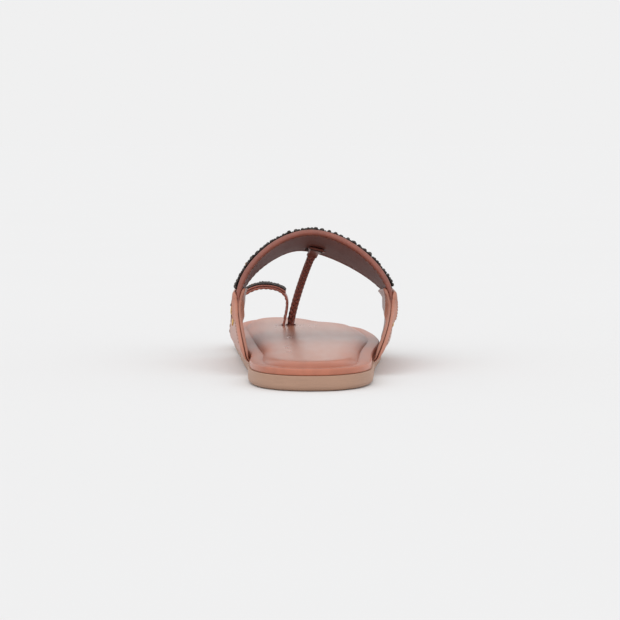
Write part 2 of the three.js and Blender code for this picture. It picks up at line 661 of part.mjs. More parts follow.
// The flat leaf under the strap, which narrows and bends down to the braid.
function thongLeaf() {
  const surfaceShare = LEAF_LENGTH / (LEAF_LENGTH + NECK_LENGTH);
  return bentBox([4, 14, 1], (across, along, through) => {
    const h = (through - 0.5) * LEAF_THICKNESS;
    const onStrap = along / surfaceShare;
    const neck = (along - surfaceShare) / (1 - surfaceShare);
    const rounding = Math.sqrt(Math.min(1, 0.35 + 4 * onStrap));
    const halfWidth = (mix(LEAF_WIDTH, 2 * (STRAND_SWAY + STRAND_HALF_WIDTH), ease(onStrap)) / 2) * rounding;
    const x = mix(-halfWidth, halfWidth, across);
    if (neck > 0) return thongPoint(neck * neckShare, x, h);
    return leafPoint(x, leafEndV - ((1 - onStrap) * LEAF_LENGTH) / strap.width, h);
  });
}

function leafStitching() {
  const rear = leafEndV - (0.8 * LEAF_LENGTH) / strap.width;
  return bentBox([4, 1, 1], (across, along, through) => {
    const x = (across - 0.5) * 0.7 * LEAF_WIDTH;
    const h = -LEAF_THICKNESS / 2 - GAP - through * THREAD_RADIUS * 2;
    return leafPoint(x, rear + (along * THREAD_RADIUS * 3) / strap.width, h);
  });
}

// The thong's lower end: down through the slot, then back between the board and the outsole.
function thongRoot() {
  const top = new THREE.Vector3(BRAID_FOOT.x, BRAID_FOOT.y, FOOTBED_TOP + ROOT_RISE);
  const bend = top.clone().setZ(FLANGE_LEVEL + FLANGE_BEND);
  const corner = top.clone().setZ(FLANGE_LEVEL);
  const flat = corner.clone().setY(corner.y - FLANGE_BEND);
  const path = new THREE.CurvePath();
  path.add(new THREE.LineCurve3(top, bend));
  path.add(new THREE.QuadraticBezierCurve3(bend, corner, flat));
  path.add(new THREE.LineCurve3(flat, flat.clone().setY(flat.y - FLANGE_LENGTH)));
  return bentBox([1, 20, 1], (across, along, through) => {
    const centre = path.getPoint(along);
    const thickness = mix(ROOT_THICKNESS, SKIVED, ease(3 * (along - 0.35)));
    const normal = ACROSS.clone().cross(path.getTangent(along));
    const p = centre.addScaledVector(normal, (through - 0.5) * thickness);
    p.x += (across - 0.5) * ROOT_WIDTH;
    return p.setZ(p.z + toeSpring(p.y));
  });
}

// ---- Assembly ----
const sandal = new THREE.Group();
function add(name, material, geometry) {
  const mesh = new THREE.Mesh(geometry, material);
  mesh.name = name;
  sandal.add(mesh);
}

add("outsole", MATERIALS.outsole, outsole());
add("insole_board", MATERIALS.board, insoleBoard());
add("footbed_cushion", MATERIALS.foam, footbedCushion());
add("insole_cover", MATERIALS.tan, insoleCover());

const liningLow = -HALF_STRAP;
const paddingLow = liningLow + LINING_THICKNESS + GAP;
const upperLow = paddingLow + PADDING_THICKNESS + GAP;
add("vamp_lining", MATERIALS.lining, strapLayer(liningLow, LINING_THICKNESS));
add("vamp_padding", MATERIALS.foam, strapLayer(paddingLow, PADDING_THICKNESS));
add("vamp_upper", MATERIALS.lining, strapLayer(upperLow, UPPER_THICKNESS));
add("vamp_beadwork", MATERIALS.beads, strapLayer(HALF_STRAP + GAP, BEADWORK_THICKNESS, visibleEnds));
add("vamp_rear_piping", MATERIALS.tan, strapPiping(0, 1));
add("vamp_front_piping", MATERIALS.tan, strapPiping(1, -1));

for (const side of [MEDIAL, LATERAL]) {
  add(sideName(side) + "_ear_outer", MATERIALS.tan, earLayer(side, EAR_OUTER_THICKNESS, 1));
  add(sideName(side) + "_ear_lining", MATERIALS.tan, earLayer(side, EAR_LINING_THICKNESS, -1));
  add(sideName(side) + "_ear_stitching", MATERIALS.thread, earStitching(side));
  add(sideName(side) + "_ear_motif", MATERIALS.gold, earMotif(side));
}

add("toe_loop_lining", MATERIALS.tan, loopLining());
add("toe_loop_upper", MATERIALS.lining, loopUpper());
add("toe_loop_beadwork", MATERIALS.beads, loopBeadwork());

for (const index of [0, 1, 2]) add("braid_strand_" + (index + 1), MATERIALS.braid, braidStrand(index));
add("thong_leaf", MATERIALS.braid, thongLeaf());
add("leaf_stitching", MATERIALS.thread, leafStitching());
add("thong_root", MATERIALS.braid, thongRoot());

const box = new THREE.Box3().setFromObject(sandal);
const centre = box.getCenter(new THREE.Vector3());
sandal.position.set(-centre.x, -centre.y, -box.min.z);

export default sandal;
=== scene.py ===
import math

import bmesh
import bpy
import numpy as np
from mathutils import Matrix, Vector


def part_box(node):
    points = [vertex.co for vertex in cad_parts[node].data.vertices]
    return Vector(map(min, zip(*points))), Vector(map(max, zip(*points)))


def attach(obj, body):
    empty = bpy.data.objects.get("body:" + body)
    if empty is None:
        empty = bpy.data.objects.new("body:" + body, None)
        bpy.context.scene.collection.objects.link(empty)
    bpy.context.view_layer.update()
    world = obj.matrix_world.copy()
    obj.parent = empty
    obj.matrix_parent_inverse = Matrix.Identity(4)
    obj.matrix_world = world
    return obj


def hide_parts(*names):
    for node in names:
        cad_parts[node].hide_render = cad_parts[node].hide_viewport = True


bl_info = {
    "name": "Toe-loop sandal",
    "version": (1, 0, 0),
    "blender": (4, 5, 0),
    "location": "View3D > Sidebar > Sandal",
    "description": "Builds a flat beaded toe-loop sandal, piece by piece, on its frame",
    "category": "Add Mesh",
}

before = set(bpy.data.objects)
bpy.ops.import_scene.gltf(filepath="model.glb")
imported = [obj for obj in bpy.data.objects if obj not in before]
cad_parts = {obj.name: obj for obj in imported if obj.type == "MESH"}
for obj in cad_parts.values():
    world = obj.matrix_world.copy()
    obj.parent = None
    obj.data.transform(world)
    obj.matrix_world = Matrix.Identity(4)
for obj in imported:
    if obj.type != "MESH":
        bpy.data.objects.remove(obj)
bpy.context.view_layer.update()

# Lengths are in millimetres from the back of the heel, at ground level, unless a comment says
# otherwise: +Y runs to the toe, +Z up, and the big toe is on the -X side.
MEDIAL = -1  # the big-toe side
LATERAL = 1
SIDES = {MEDIAL: "medial", LATERAL: "lateral"}

# ---- Sole ----
SOLE_LENGTH = 250
TOE_SPRING = 4
SPRING_START = 165
GAP = 0.25  # a film of cement
OUTSOLE_THICKNESS = 7.4
OUTSOLE_ROUND = 2.2
RIM_INSET = 1.0
BORDER_WIDTH = 7.5
CUSHION_HEIGHT = 2.4
CUSHION_SHOULDER = 6.5
COVER_THICKNESS = 0.7
UNDERLAP = 11
TREAD_WIDTH = 2.2
MARGIN_BOTTOM = OUTSOLE_THICKNESS + GAP
MARGIN_TOP = MARGIN_BOTTOM + COVER_THICKNESS
BORDER_BOTTOM = MARGIN_TOP + GAP + 1.2 + GAP
BORDER_TOP = BORDER_BOTTOM + COVER_THICKNESS
FOOTBED_TOP = BORDER_BOTTOM + CUSHION_HEIGHT + GAP + COVER_THICKNESS
FLANGE_LEVEL = 6.675
FLANGE_BEND = 3
FLANGE_LENGTH = 9
FLANGE_REACH = 12.6
POCKET_FLOOR = 5.7
POCKET_SLACK = 0.4
SLOT_SLACK = 0.3
WALL_ROUND = 0.45
SPINE_ENDS = (31.3, 212)
SPINE_INSET = 24.2
TREAD_PITCH = 10
TREAD_MARGIN = 8

# ---- Straps: offsets are outwards from a strap's middle surface ----
HALF_STRAP = 1.4
LINING = (-1.4, -0.6)
PADDING = (-0.35, 0.25)
UPPER = (0.5, 1.4)
BEADING = (1.5, 1.75)  # the cloth that the beads are sewn to
PIPING_RADIUS = 1.35
HEM = 2 * PIPING_RADIUS + GAP
EAR_HEIGHT = 31
EAR_OUTER_THICKNESS = 1.9
EAR_LINING_THICKNESS = 1.6
EAR_CORNER = 2
STRAP_CROWN_REAR = (0.5, 121, 72.2)
STRAP_CROWN_FRONT = (-6, 178, 60.1)
STRAP_FOOT_REAR = 72
STRAP_FOOT_FRONT = 168
STRAP_TUCK = 11
SPREAD_LENGTH = 5
SKIVED = 0.6
MOTIF_CENTRE = 16
PETAL_START = 1.5
PETAL_REACH = 5.5
STRANDS = range(-4, 5)  # of one petal
STRAND_SPACING = 0.095  # as a share of a petal
RING_RADIUS = 1.45
TRELLIS_PITCH = 15
OUTER_DROP = 1.7
STITCH_MARGIN = 3.2
STITCH_TURN = 4
HEM_STITCH_MARGIN = 0.7
LOOP_Y = 208
LOOP_WIDTH = 10
LOOP_LEG_X = -15.2
LOOP_UPPER_END = 0.36
LOOP_LINING_THICKNESS = 1.3
LOOP_UPPER_THICKNESS = 0.9
LOOP_BEAD_SHARE = 0.66  # of the size and pitch of the beads on the instep strap
LOOP_STITCH = (2.6, 1.9, 0.2)  # pitch, length and radius

# ---- Thong ----
BRAID_FOOT = (-11.4, 208)
BRAID_PITCH = 9.6
BRAID_SWAY = (1.5, 1.2)  # at the top, then below it
BRAID_LIFT = (0.35, 0.9)
LACE_SQUARENESS = 0.75
LEAF_WIDTH = 8.6
LEAF_LENGTH = 15
LEAF_THICKNESS = 1.3
LEAF_PLACE = 0.09
LEAF_END = 7
NECK_LENGTH = 6
ROOT_WIDTH = 5.4

# ---- Camera ----
CAMERA_PLACE = (-0.0005, -1.1437, 0.1202)  # in metres
CAMERA_TILT = 85.474  # in degrees from straight down
CAMERA_LENS = 122.98


def mix(a, b, t):
    return a + (b - a) * t


def ease(t):
    c = np.clip(t, 0, 1)
    return c * c * (3 - 2 * c)


def unit(vectors):
    lengths = np.linalg.norm(vectors, axis=-1, keepdims=True)
    return vectors / np.maximum(lengths, 1e-9)


def toe_spring(y):
    return TOE_SPRING * (np.maximum(0, y - SPRING_START) / (SOLE_LENGTH - SPRING_START)) ** 2


def run_along(line):
    """How far each point of a line is along it."""
    steps = np.linalg.norm(np.diff(line, axis=0), axis=1)
    return np.concatenate([[0], np.cumsum(steps)])


def read_at(distance, run, values):
    """Values given at a run of distances, read at other distances."""
    return np.stack([np.interp(distance, run, values[:, k]) for k in range(values.shape[1])], axis=-1)


def bezier(handles, count):
    t = np.linspace(0, 1, count)[:, None]
    order = len(handles) - 1
    total = 0
    for k, handle in enumerate(handles):
        total = total + math.comb(order, k) * (1 - t) ** (order - k) * t**k * np.array(handle)
    return total


def closed_curve(points, steps):
    """A smooth closed curve through points."""
    before, here, after, beyond = (np.roll(points, k, axis=0)[:, None] for k in (1, 0, -1, -2))
    t = (np.arange(steps) / steps)[None, :, None]
    square = 2 * before - 5 * here + 4 * after - beyond
    cube = 3 * here - before - 3 * after + beyond
    curve = 0.5 * (2 * here + (after - before) * t + square * t**2 + cube * t**3)
    return curve.reshape(-1, points.shape[1])


def spaced(length, edge, step):
    """Distances from 0 to length, closer together near both ends."""
    near = edge * np.array([0, 0.04, 0.14, 0.3, 0.52, 0.77])
    middle = np.linspace(edge, length - edge, max(2, round((length - 2 * edge) / step) + 1))
    return np.concatenate([near, middle, (length - near)[::-1]])


def ripple(points, size, seed):
    """A gentle unevenness between -1 and 1 whose bumps are about so many millimetres across."""
    chance = np.random.default_rng(seed)
    total = 0
    for _ in range(7):
        direction = unit(chance.normal(size=3)) * chance.uniform(0.6, 1.5) * math.pi / size
        total = total + np.sin(points @ direction + chance.uniform(0, 2 * math.pi))
    return total / 7


# ---- Outline of the sole, from the frame ----
cad_points = np.array([v.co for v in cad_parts["outsole"].data.vertices])
root_low, root_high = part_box("thong_root")
# The back of the heel in metres. The thong's root, a known way off the middle line, gives its X.
HEEL = np.array([(root_low.x + root_high.x) / 2 - BRAID_FOOT[0] / 1000, cad_points[:, 1].min(), 0])


def sole_sides():
    """The two sides of the outline from heel to toe, from the widest ring of points of the outsole."""
    points = np.round(1000 * (cad_points - HEEL), 2)
    ring = points[np.abs(points[:, 2] - toe_spring(points[:, 1]) - OUTSOLE_ROUND) < 0.03]
    ring = np.unique(ring[:, :2], axis=0)
    ring = ring[np.argsort(np.arctan2(ring[:, 1] - SOLE_LENGTH / 2, ring[:, 0]))]
    fine = closed_curve(ring, 10)
    fine = np.roll(fine, -fine[:, 1].argmin(), axis=0)
    toe = fine[:, 1].argmax()
    return {LATERAL: fine[: toe + 1], MEDIAL: np.concatenate([fine[toe:], fine[:1]])[::-1]}


OUTLINE = sole_sides()


def edge_x(side, y):
    line = OUTLINE[side]
    return np.interp(y, line[:, 1], line[:, 0])


def sole_rim(count):
    """Points round the sole in pairs across it, and the way from each to the sole's spine."""
    ends = OUTLINE[MEDIAL][[0, -1], 1]
    y = mix(ends[0], ends[1], (1 - np.cos(np.linspace(0, math.pi, count + 1))) / 2)
    medial = np.stack([edge_x(MEDIAL, y), y], axis=1)
    lateral = np.stack([edge_x(LATERAL, y), y], axis=1)[-2:0:-1]
    rim = np.concatenate([medial, lateral])
    station = np.clip(rim[:, 1], *SPINE_ENDS)
    spine = np.stack([(edge_x(MEDIAL, station) + edge_x(LATERAL, station)) / 2, station], axis=1)
    return rim, spine - rim


# ---- Shapes ----
class Shape:
    """The faces of one piece, with two marks a point for its finish: how near a cut edge it is, and its tint.
    On the braid's laces the first mark is a painted highlight on their crowns, and on the rosettes the tint
    is a painted highlight and painted shade across each petal."""

    def __init__(self):
        self.points = []
        self.faces = []
        self.edge = []
        self.tint = []
        self.count = 0

    def add(self, points, faces, edge=0, tint=0):
        points = np.asarray(points, float).reshape(-1, 3)
        for block in faces:
            self.faces += (np.asarray(block) + self.count).tolist()
        self.points.append(points)
        self.edge.append(np.broadcast_to(np.ravel(edge), len(points)))
        self.tint.append(np.broadcast_to(np.ravel(tint), len(points)))
        self.count += len(points)


def grid_faces(rows, columns, wrap=False):
    """Faces over a grid of points, whose columns may join up."""
    r = np.arange(rows - 1)[:, None]
    c = np.arange(columns if wrap else columns - 1)[None, :]
    right = (c + 1) % columns
    corners = [r * columns + c, r * columns + right, (r + 1) * columns + right, (r + 1) * columns + c]
    return np.stack(np.broadcast_arrays(*corners), axis=-1).reshape(-1, 4)


def tube_faces(rows, columns):
    """Faces of a tube of rings, with both its ends closed."""
    first = np.arange(columns)[None, ::-1]
    return [grid_faces(rows, columns, wrap=True), first, first[:, ::-1] + (rows - 1) * columns]


def make_piece(name, shape, finish, stands_for=(), crease=40):
    """Makes the piece in the frame, facing outwards, and finishes it."""
    mesh = bpy.data.meshes.new(name)
    points = np.concatenate(shape.points) / 1000 + HEEL
    mesh.from_pydata(points.tolist(), [], shape.faces)
    for mark, values in (("edge", shape.edge), ("tint", shape.tint)):
        layer = mesh.attributes.new(mark, "FLOAT", "POINT")
        layer.data.foreach_set("value", np.concatenate(values).astype(np.float32))
    body = bmesh.new()
    body.from_mesh(mesh)
    bmesh.ops.remove_doubles(body, verts=body.verts, dist=1e-6)
    bmesh.ops.recalc_face_normals(body, faces=body.faces)
    body.to_mesh(mesh)
    body.free()
    piece = bpy.data.objects.new(name, mesh)
    bpy.context.scene.collection.objects.link(piece)
    smooth(mesh, crease)
    mesh.materials.append(finish)
    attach(piece, "root")
    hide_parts(*stands_for)
    return piece


def smooth(mesh, crease):
    mesh.polygons.foreach_set("use_smooth", [True] * len(mesh.polygons))
    mesh.set_sharp_from_angle(angle=math.radians(crease))
    mesh.update()


def box_shape(boxes):
    """Boxes given by functions of their three shares, with a number of steps along each."""
    shape = Shape()
    faces = np.array([[0, 1, 3, 2], [4, 6, 7, 5], [0, 4, 5, 1], [2, 3, 7, 6], [0, 2, 6, 4], [1, 5, 7, 3]])
    for place, steps in boxes:
        for i in range(steps):
            shares = [(a, (i + b) / steps, c) for a in (0, 1) for b in (0, 1) for c in (0, 1)]
            shape.add([place(*share) for share in shares], [faces])
    return shape


def carve(piece, boxes, crease=40):
    """Cuts boxes out of a piece."""
    shape = box_shape(boxes)
    mesh = bpy.data.meshes.new("cutter")
    mesh.from_pydata((np.concatenate(shape.points) / 1000 + HEEL).tolist(), [], shape.faces)
    body = bmesh.new()
    body.from_mesh(mesh)
    bmesh.ops.recalc_face_normals(body, faces=body.faces)
    body.to_mesh(mesh)
    body.free()
    cutter = bpy.data.objects.new("cutter", mesh)
    bpy.context.scene.collection.objects.link(cutter)
    modifier = piece.modifiers.new("cut", "BOOLEAN")
    modifier.operation = "DIFFERENCE"
    modifier.solver = "EXACT"
    modifier.object = cutter
    bpy.context.view_layer.update()
    made = piece.evaluated_get(bpy.context.evaluated_depsgraph_get())
    cut_mesh = bpy.data.meshes.new_from_object(made)
    piece.modifiers.clear()
    piece.data = cut_mesh
    smooth(cut_mesh, crease)
    bpy.data.objects.remove(cutter)


def dot_template(segments, rings):
    """A unit ball, for beads."""
    up = np.linspace(-math.pi / 2, math.pi / 2, rings + 2)
    round_ = 2 * math.pi * np.arange(segments) / segments
    rows = []
    for a in up:
        row = [np.cos(a) * np.cos(round_), np.cos(a) * np.sin(round_), 0 * round_ + np.sin(a)]
        rows.append(np.stack(row, 1))
    return np.concatenate(rows), grid_faces(rings + 2, segments, wrap=True)


def thread_template(segments):
    """A stretch of thread of unit half length along X, which sinks at both ends."""
    along = np.array([-1, -0.93, -0.72, -0.35, 0, 0.35, 0.72, 0.93, 1])
    girth = np.array([0.05, 0.55, 0.88, 1, 1, 1, 0.88, 0.55, 0.05])
    turn = 2 * math.pi * np.arange(segments) / segments
    rows = []
    for x, g in zip(along, girth):
        sink = 0.9 * (1 - x**4) - 0.4
        rows.append(np.stack([0 * turn + x, g * np.cos(turn), g * np.sin(turn) + sink], 1))
    return np.concatenate(rows), grid_faces(len(along), segments, wrap=True)


BEAD = dot_template(9, 4)
THREAD = thread_template(7)


def scatter(shape, template, places, frames, sizes, tints=0):
    """Copies of a template, each in its own frame and size."""
    local, faces = template
    count = len(places)
    sizes = np.broadcast_to(sizes, (count, 3))
    scaled = local[None] * sizes[:, None]
    points = np.asarray(places)[:, None] + np.einsum("npk,nkj->npj", scaled, frames)
    starts = np.arange(count) * len(local)
    all_faces = (faces[None] + starts[:, None, None]).reshape(-1, 4)
    shape.add(points, [all_faces], tint=np.repeat(np.broadcast_to(tints, count), len(local)))


def stitch(shape, line, ups, pitch, length, radius, seed=1):
    """A row of stitches along a line that lies on a face."""
    chance = np.random.default_rng(seed)
    run = run_along(line)
    count = max(1, int(run[-1] / pitch))
    middle = (np.arange(count) + 0.5) * run[-1] / count
    places = read_at(middle, run, line)
    ahead = unit(read_at(middle + 0.5, run, line) - read_at(middle - 0.5, run, line))
    up = unit(read_at(middle, run, ups))
    across = unit(np.cross(up, ahead))
    slant = chance.normal(0, 0.05, count)[:, None]
    ahead = unit(ahead + slant * across)
    frames = np.stack([ahead, np.cross(up, ahead), up], axis=1)
    sizes = np.array([length / 2, radius, radius]) * chance.uniform(0.93, 1.07, (count, 1))
    scatter(shape, THREAD, places, frames, sizes, chance.uniform(0, 1, count))


# ---- Layers of the sole ----
def sole_layer(shape, profile, count, wave=0.0, seed=3):
    """A layer of the sole. A row of its profile is an inset, a share of the rest of the way to the
    spine, and a height."""
    rim, way = sole_rim(count)
    length = np.linalg.norm(way, axis=1)
    rows = []
    edges = []
    for inset, rest, height in profile:
        share = inset / length
        share = share + rest * (1 - share)
        flat = rim + way * share[:, None]
        point = np.column_stack([flat, height + toe_spring(flat[:, 1])])
        inner = ease((inset - 7) / 7) * ease((height - BORDER_TOP + 0.3) / 1.5)
        point[:, 2] += wave * inner * ripple(point * (1, 0.6, 0), 9, seed)
        rows.append(point)
        edges.append(np.full(len(rim), inset))
    shape.add(np.concatenate(rows), [grid_faces(len(rows), len(rim), wrap=True)], tint=np.concatenate(edges))


def middle_rows(height, upward=False):
    rows = [(SPINE_INSET, share, height) for share in (1, 0.75, 0.5, 0.25)]
    rows += [(inset, 0, height) for inset in (SPINE_INSET, 20.5, 17.2)]
    return rows[::-1] if upward else rows


def rounded(corner, radius, start, end, steps=5):
    """Rows round a corner of a profile, from one direction to another, in degrees from outwards."""
    turns = np.radians(np.linspace(start, end, steps))
    return [(corner[0] - radius * math.cos(a), 0, corner[1] + radius * math.sin(a)) for a in turns]


def padding_top(cover):
    """The padding's upper side from the spine out, moved out and up by the layers that cover it."""
    foot = RIM_INSET + BORDER_WIDTH - cover
    rows = middle_rows(BORDER_BOTTOM + CUSHION_HEIGHT + cover)
    for share in np.linspace(1.3, 0, 18):
        rise = 1 - (1 - min(share, 1.0)) ** 2.6
        rows.append((foot + share * CUSHION_SHOULDER, 0, BORDER_BOTTOM + CUSHION_HEIGHT * rise + cover))
    return rows


def slot_box(centre_x, width, centre_y, length):
    low = (centre_x - width / 2, centre_y - length / 2, OUTSOLE_THICKNESS)
    high = (centre_x + width / 2, centre_y + length / 2, 2 * FOOTBED_TOP)
    return lambda a, b, c: [mix(low[0], high[0], a), mix(low[1], high[1], b), mix(low[2], high[2], c)]


def footbed_slots():
    """The slot in the footbed for the loop's inner leg and the thong's root."""
    leg = LOOP_LEG_X - (LOOP_LINING_THICKNESS + GAP) / 2
    return [
        (slot_box(leg, LOOP_LINING_THICKNESS + SLOT_SLACK, LOOP_Y, LOOP_WIDTH + SLOT_SLACK), 1),
        (slot_box(BRAID_FOOT[0], ROOT_WIDTH, BRAID_FOOT[1] - 0.2, 1.8), 1),
    ]


def pocket_box(rear, front, sides):
    def place(a, b, c):
        y = mix(rear - POCKET_SLACK, front + POCKET_SLACK, b)
        near, far = sides(y)
        return [mix(near, far, a), y, mix(POCKET_FLOOR, MARGIN_TOP, c) + float(toe_spring(y))]

    return place, 8


def tread_boxes(depth):
    """Grooves across the underside."""

    def groove(y):
        def place(a, b, c):
            at = y + (b - 0.5) * TREAD_WIDTH
            x = mix(edge_x(MEDIAL, y) + TREAD_MARGIN, edge_x(LATERAL, y) - TREAD_MARGIN, a)
            return [x, at, mix(-1, depth, c) + float(toe_spring(at))]

        return place, 1

    return [groove(y) for y in range(20, 231, TREAD_PITCH)]


# ---- Arches ----
def half_section(inward, crown, spring, foot, fullness, lean):
    """Half a section of an arch, from its crown down to its foot and in under the insole, and which of
    its points are the spring of the arch and its foot."""
    span = spring[0] - crown[0]
    rise = crown[2] - spring[2]
    leg = spring[2] - foot[2]
    fall = spring[1] - crown[1]
    slope = inward * math.tan(lean)
    corner = foot + np.array([FLANGE_BEND * slope, 0, -FLANGE_BEND])
    flange = corner + np.array([FLANGE_BEND * inward, 0, 0])
    shoulder = (crown[0] + fullness * span, crown[1] + 0.1 * fall, crown[2])
    haunch = (spring[0], spring[1] - 0.4 * fall, spring[2] + fullness * rise)
    below = (spring[0], mix(spring[1], foot[1], 0.3), spring[2] - 0.35 * leg)
    above = (foot[0] - 0.35 * leg * slope, foot[1], foot[2] + 0.35 * leg)
    upper = bezier([crown, shoulder, haunch, spring], 90)
    lower = bezier([spring, below, above, foot], 60)
    bend = bezier([foot, corner, flange], 14)
    flat = flange + np.outer(np.linspace(0, 1, 6), [FLANGE_LENGTH * inward, 0, 0])
    line = np.concatenate([upper, lower[1:], bend[1:], flat[1:]])
    return line, len(upper) - 1, len(upper) + len(lower) - 2


class Arch:
    """A strap over the foot. A place on its middle surface is a share s, -1 at its medial foot, 0 at
    its crown and 1 at its lateral foot, and a share v from its rear edge to its front edge. An arc is
    in millimetres up from the foot of the front edge; where the leg of another section is longer, arcs
    are stretched there."""

    def __init__(self, width, section, reach):
        self.width = width
        self.s = np.linspace(-reach, reach, 1201)
        self.v = np.linspace(0, 1, 61)
        self.places = np.zeros((len(self.s), len(self.v), 3))
        self.heights = {MEDIAL: np.zeros(len(self.v)), LATERAL: np.zeros(len(self.v))}
        for side in (MEDIAL, LATERAL):
            line, spring, foot = section(side, 1.0)
            front_leg = run_along(line)[foot] - run_along(line)[spring]
            for j, v in enumerate(self.v):
                line, spring, foot = section(side, v)
                run = run_along(line)
                stretch = 1 + (run[foot] - run[spring] - front_leg) / EAR_HEIGHT
                self.heights[side][j] = run[foot] / stretch
                mine = self.s * side >= 0
                share = np.abs(self.s[mine])
                beyond = np.maximum(0, share - 1) / stretch
                self.places[mine, j] = read_at((np.minimum(share, 1) + beyond) * run[foot], run, line)
        along = np.gradient(self.places, axis=0)
        self.normals = unit(np.cross(along, np.gradient(self.places, axis=1)))
        self.runs = unit(along)

    def read(self, table, s, v):
        s, v = np.broadcast_arrays(np.asarray(s, float), np.asarray(v, float))
        i = np.clip((s - self.s[0]) / (self.s[1] - self.s[0]), 0, len(self.s) - 1.001)
        j = np.clip(v * (len(self.v) - 1), 0, len(self.v) - 1.001)
        a, b = i.astype(int), j.astype(int)
        p, q = (i - a)[..., None], (j - b)[..., None]
        low = mix(table[a, b], table[a + 1, b], p)
        high = mix(table[a, b + 1], table[a + 1, b + 1], p)
        return mix(low, high, q)

    def normal(self, s, v):
        return unit(self.read(self.normals, s, v))

    def at(self, s, v, offset):
        place = self.read(self.places, s, v)
        return place + self.normal(s, v) * np.broadcast_to(offset, place.shape[:-1])[..., None]

    def height(self, side, v):
        return np.interp(v, self.v, self.heights[side])

    def share(self, side, arc, v):
        """The share that is an arc in millimetres above a foot."""
        return side * (1 - arc / self.height(side, v))

    def arc(self, s, v):
        height = np.where(np.asarray(s) < 0, self.height(MEDIAL, v), self.height(LATERAL, v))
        return (1 - np.abs(s)) * height

    def frames(self, s, v):
        """Frames along the strap's section, across it and outwards."""
        up = self.normal(s, v)
        run = unit(self.read(self.runs, s, v))
        across = unit(np.cross(up, run))
        return np.stack([np.cross(across, up), across, up], axis=-2)


def foot_clearance(thickness, lean):
    """How far a strap's middle surface stands off the insole's edge."""
    return 0.35 + thickness + GAP / 2 + 0.6 * FLANGE_BEND * math.tan(lean)


def strap_section(side, v):
    rear = {
        "spring": (115, 36),
        MEDIAL: (-38.9, 0.48, 0.2),
        LATERAL: (43.2, 0.45, 0.4),
    }
    front = {
        "spring": (170, 33),
        MEDIAL: (-39.8, 0.4, 0.42),
        LATERAL: (43.3, 0.32, 0.4),
    }
    crown = mix(np.array(STRAP_CROWN_REAR, float), np.array(STRAP_CROWN_FRONT, float), v)
    spring_y, spring_z = mix(np.array(rear["spring"], float), np.array(front["spring"], float), v)
    spring_x, fullness, lean = mix(np.array(rear[side]), np.array(front[side]), v)
    foot_y = mix(STRAP_FOOT_REAR, STRAP_FOOT_FRONT, v)
    foot_x = edge_x(side, foot_y) + side * (foot_clearance(EAR_LINING_THICKNESS, lean) - RIM_INSET)
    foot = np.array([foot_x, foot_y, FLANGE_LEVEL + FLANGE_BEND + toe_spring(foot_y)])
    return half_section(-side, crown, np.array([spring_x, spring_y, spring_z]), foot, fullness, lean)


def loop_section(side, v):
    y = LOOP_Y + (v - 0.5) * LOOP_WIDTH
    rise = float(toe_spring(y))
    if side == MEDIAL:
        spring_x, spring_z, fullness, lean = -45.2, 21, 0.5, 0.15
        foot_x = edge_x(MEDIAL, y) + RIM_INSET - foot_clearance(LOOP_LINING_THICKNESS, lean)
    else:
        spring_x, spring_z, fullness, lean = -12.7, 26, 0.66, 0
        foot_x = LOOP_LEG_X
    crown = np.array([-27, y, 36.2 + rise])
    foot = np.array([foot_x, y, FLANGE_LEVEL + FLANGE_BEND + rise])
    return half_section(-side, crown, np.array([spring_x, y, spring_z + rise]), foot, fullness, lean)


STRAP = Arch(math.dist(STRAP_CROWN_REAR, STRAP_CROWN_FRONT), strap_section, 1.16)
LOOP = Arch(LOOP_WIDTH, loop_section, 1.42)


def strap_ends(arc):
    return [lambda v, side=side: STRAP.share(side, arc, v) for side in (MEDIAL, LATERAL)]


def panel(shape, arch, ends, faces, margin, rounding, step, relief=None, wave=0.0, seed=5):
    """A sheet of leather on an arch between two shares of it, with its cut edges rounded over."""
    start, end = ends
    along = spaced(arch.width - 2 * margin, rounding, step) + margin
    v = along / arch.width
    reach = float(np.mean(np.abs(end(v) - start(v)))) * arch.height(LATERAL, 0.5)
    across = spaced(reach, rounding, step)
    share = (across / reach)[:, None]
    s = mix(start(v)[None], end(v)[None], share)
    v = np.broadcast_to(v, s.shape)
    side_gap = np.minimum(across, reach - across)[:, None]
    near = np.minimum(side_gap, np.minimum(along - margin, arch.width - margin - along)[None])
    swell = np.sqrt(1 - (1 - np.clip(near / rounding, 0, 1)) ** 2)
    arc = arch.arc(s, v)
    low, high = (face(arc, v) for face in faces)
    half = (high - low) / 2 * swell
    place = arch.at(s, v, 0)
    push = wave * ripple(place, 11, seed) + 0.3 * wave * ripple(place, 3.5, seed + 1)
    extra = relief(arc, near) if relief else 0
    for way in (1, -1):
        offset = (low + high) / 2 + way * half + push * swell + (extra * swell if way == 1 else 0)
        shape.add(arch.at(s, v, offset), [grid_faces(*s.shape)], edge=np.exp(-near / 0.8))


def flat_faces(low, high):
    return [lambda arc, v: low + 0 * arc, lambda arc, v: high + 0 * arc]


def spread(arc, v):
    """How far a flap's layers stand off the middle surface: round the strap's end, and closed beside it."""
    beside = 1 - ease((np.minimum(v, 1 - v) * STRAP.width - 0.6) / 2.2)
    wide = ease((arc - EAR_HEIGHT + STRAP_TUCK + SPREAD_LENGTH + 1) / SPREAD_LENGTH)
    mouth = ease((arc - EAR_HEIGHT + 6.5) / 7.5)
    return mix(GAP / 2, HALF_STRAP + 0.15, mix(wide, mouth, beside))


def skive(thickness, arc):
    return mix(SKIVED, thickness, ease((arc + FLANGE_BEND) / (2 * FLANGE_BEND)))


def ear_faces(outward):
    thickness = EAR_OUTER_THICKNESS if outward > 0 else EAR_LINING_THICKNESS
    near = lambda arc, v: outward * spread(arc, v)
    far = lambda arc, v: outward * (spread(arc, v) + skive(thickness, arc))
    return [near, far] if outward > 0 else [far, near]


